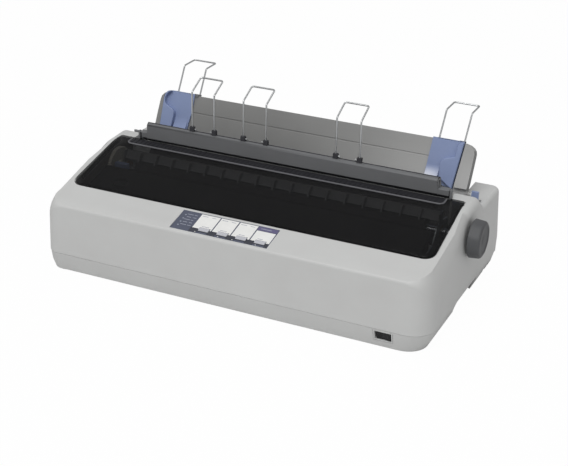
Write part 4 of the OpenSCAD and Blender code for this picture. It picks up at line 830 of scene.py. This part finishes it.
# from the case outwards: each ring's X, its radius and how much of the flats it shows
rings = [(264.8, 19.6, 0), (265.6, 19.6, 0), (265.8, 23.6, 0.8), (266.6, 24.5, 1), (278.6, 23.4, 1),
         (280.6, 22.2, 1), (281.4, 20.4, 0.9), (281.4, 17.6, 0.7), (280.7, 16.8, 0.5), (280.7, 7, 0),
         (281.2, 6, 0)]
for x, r, flatness in rings:
    loop = []
    for k in range(around):
        t = 2 * math.pi * k / around
        inside = (t + half_flat) % (2 * half_flat) - half_flat
        flat_r = r * math.cos(half_flat) / math.cos(inside) * 1.035
        share = 0.62 * flatness
        here = min(r, r * (1 - share) + flat_r * share)
        loop.append(knob.verts.new((x, platen_y + here * math.cos(t), platen_z + here * math.sin(t))))
    loops.append(loop)
for a, b in zip(loops, loops[1:]):
    for k in range(around):
        knob.faces.new((a[k], a[(k + 1) % around], b[(k + 1) % around], b[k]))
knob.faces.new(loops[0])
knob.faces.new(loops[-1])
piece(knob, "feed_knob_grip", knob_plastic, "platen", ["feed_knob"], sharp=50)


# Power switch: a black nylon rocker in a light ABS frame, which snaps into the front
# of the lower case near its right end and leans with it.
switch, switch_lean = bmesh.new(), 0.26
block(switch, (switch_x - 12.2, -139.4, 10.2), (switch_x + 12.2, -128, 24.9))
cutter = bmesh.new()
block(cutter, (switch_x - 10.6, -150, 11.6), (switch_x + 10.6, -130, 23.6))
switch = carve(switch, cutter)
# both follow the front's lean; the floor of the frame is as black as the rocker
for f in switch.faces:
    if f.calc_center_median().y > -131 and f.normal.y < -0.9:
        f.material_index = 1
for v in switch.verts:
    v.co.y += switch_lean * (seam_z - v.co.z)
frame_plastic = moulded("abs_switch_frame", "#c9cac9", "#d3d4d3", 0.45, 1.5, 0.02, 10)
rocker_plastic = moulded("nylon_black", "#141415", "#1d1d1e", 0.4, 1.5, 0.03, 8, 0.3)
piece(switch, "switch_frame", [frame_plastic, rocker_plastic], "case", ["switch_housing"],
      bevel=0.4)
# dished on its face, and narrower at the left, where it swings in
rocker, rocker_y = bmesh.new(), -133.5
dished = [(-8.1, -4.9), (-5, -4.4), (0, -4.1), (5, -4.7), (9.3, -5.6), (9.7, -1), (3, 2), (-3, 2), (-9.4, -1)]
prism(rocker, dished, "z", 12, 23.2)
for v in rocker.verts:
    v.co.x += switch_x
    v.co.y += rocker_y + switch_lean * (seam_z - v.co.z)
piece(rocker, "switch_rocker", rocker_plastic, "power_rocker", ["power_rocker"], bevel=0.5)


# Mechanism, kept from the CAD: moulded plastics inside the case. The two levers are
# in the blue that marks what the user may move.
coat(blue_plastic, "release_lever", "thickness_lever")
# gears of natural acetal: creamy white and slippery smooth
acetal = moulded("acetal_natural", "#d9d6cb", "#e4e1d7", 0.4, 2, 0.02, 15)
coat(acetal, "platen_gear", "reduction_gear", "motor_pinion")
# the platen's nitrile rubber: ground, so dull and almost black
coat(moulded("nitrile_rubber", "#29292b", "#323234", 0.75, 2, 0.08, 20, 0.2), "platen")
# black polystyrene and the like, with a low even sheen
inner_black = moulded("polystyrene_black", "#1b1b1d", "#242427", 0.45, 2, 0.04, 25, 0.25)
coat(inner_black, "ribbon_cartridge", "ribbon_drive_knob", "paper_chute", "carriage", "print_head",
     "timing_belt", "motor_pulley", "idler_pulley", "interface_connector", "mains_inlet")
for side in ("left", "right"):
    coat(inner_black, f"{side}_tractor", f"{side}_tractor_cover", f"{side}_pin_wheel")
# the exit guide's ribs catch the light through the cover
coat(moulded("abs_inner_grey", "#77787a", "#828385", 0.5, 2, 0.04, 25, 0.25), "exit_guide")


# Chassis: galvanised sheet steel with its spangle, brighter ground steel rods and
# shafts, motors in dark enamelled steel cases and dull brown sintered bronze bushes.
def metal(name, dark, light, roughness, grain):
    """A worked metal, mottled over grains of some millimetres."""
    material, tree, shader = new_material(name)
    shader.inputs["Metallic"].default_value = 1
    place = add(tree, "TexCoord").outputs["Object"]
    cells = add(tree, "TexVoronoi", {"Scale": 1000 / grain}, {"Vector": place})
    tint = add(tree, "Mix", {"data_type": "RGBA", 6: paint(dark), 7: paint(light)},
               {0: cells.outputs["Color"]})
    gloss = add(tree, "MapRange", {"To Min": roughness - 0.08, "To Max": roughness + 0.08},
                {"Value": cells.outputs["Distance"]})
    tree.links.new(tint.outputs[2], shader.inputs["Base Color"])
    tree.links.new(gloss.outputs[0], shader.inputs["Roughness"])
    return material


galvanised = metal("steel_galvanised", "#8f9496", "#a9aeb0", 0.42, 6)
coat(galvanised, "left_side_frame", "right_side_frame", "front_rail", "power_supply")
ground = metal("steel_ground", "#a3a5a8", "#b4b6b9", 0.25, 2)
coat(ground, "carriage_rod", "tractor_rod", "platen_shaft", "tractor_shaft", "case_screws")
coat(metal("steel_motor_case", "#4a4b4e", "#5a5b5e", 0.4, 3), "carriage_motor", "paper_feed_motor")
coat(metal("bronze_sintered", "#8c6b45", "#a5825a", 0.5, 1.5), "shaft_bushes")
# glass-epoxy circuit boards under green solder resist
coat(moulded("circuit_board_green", "#1f5a3a", "#286a46", 0.35, 6, 0.03, 9, 0.5), "main_board", "panel_board")
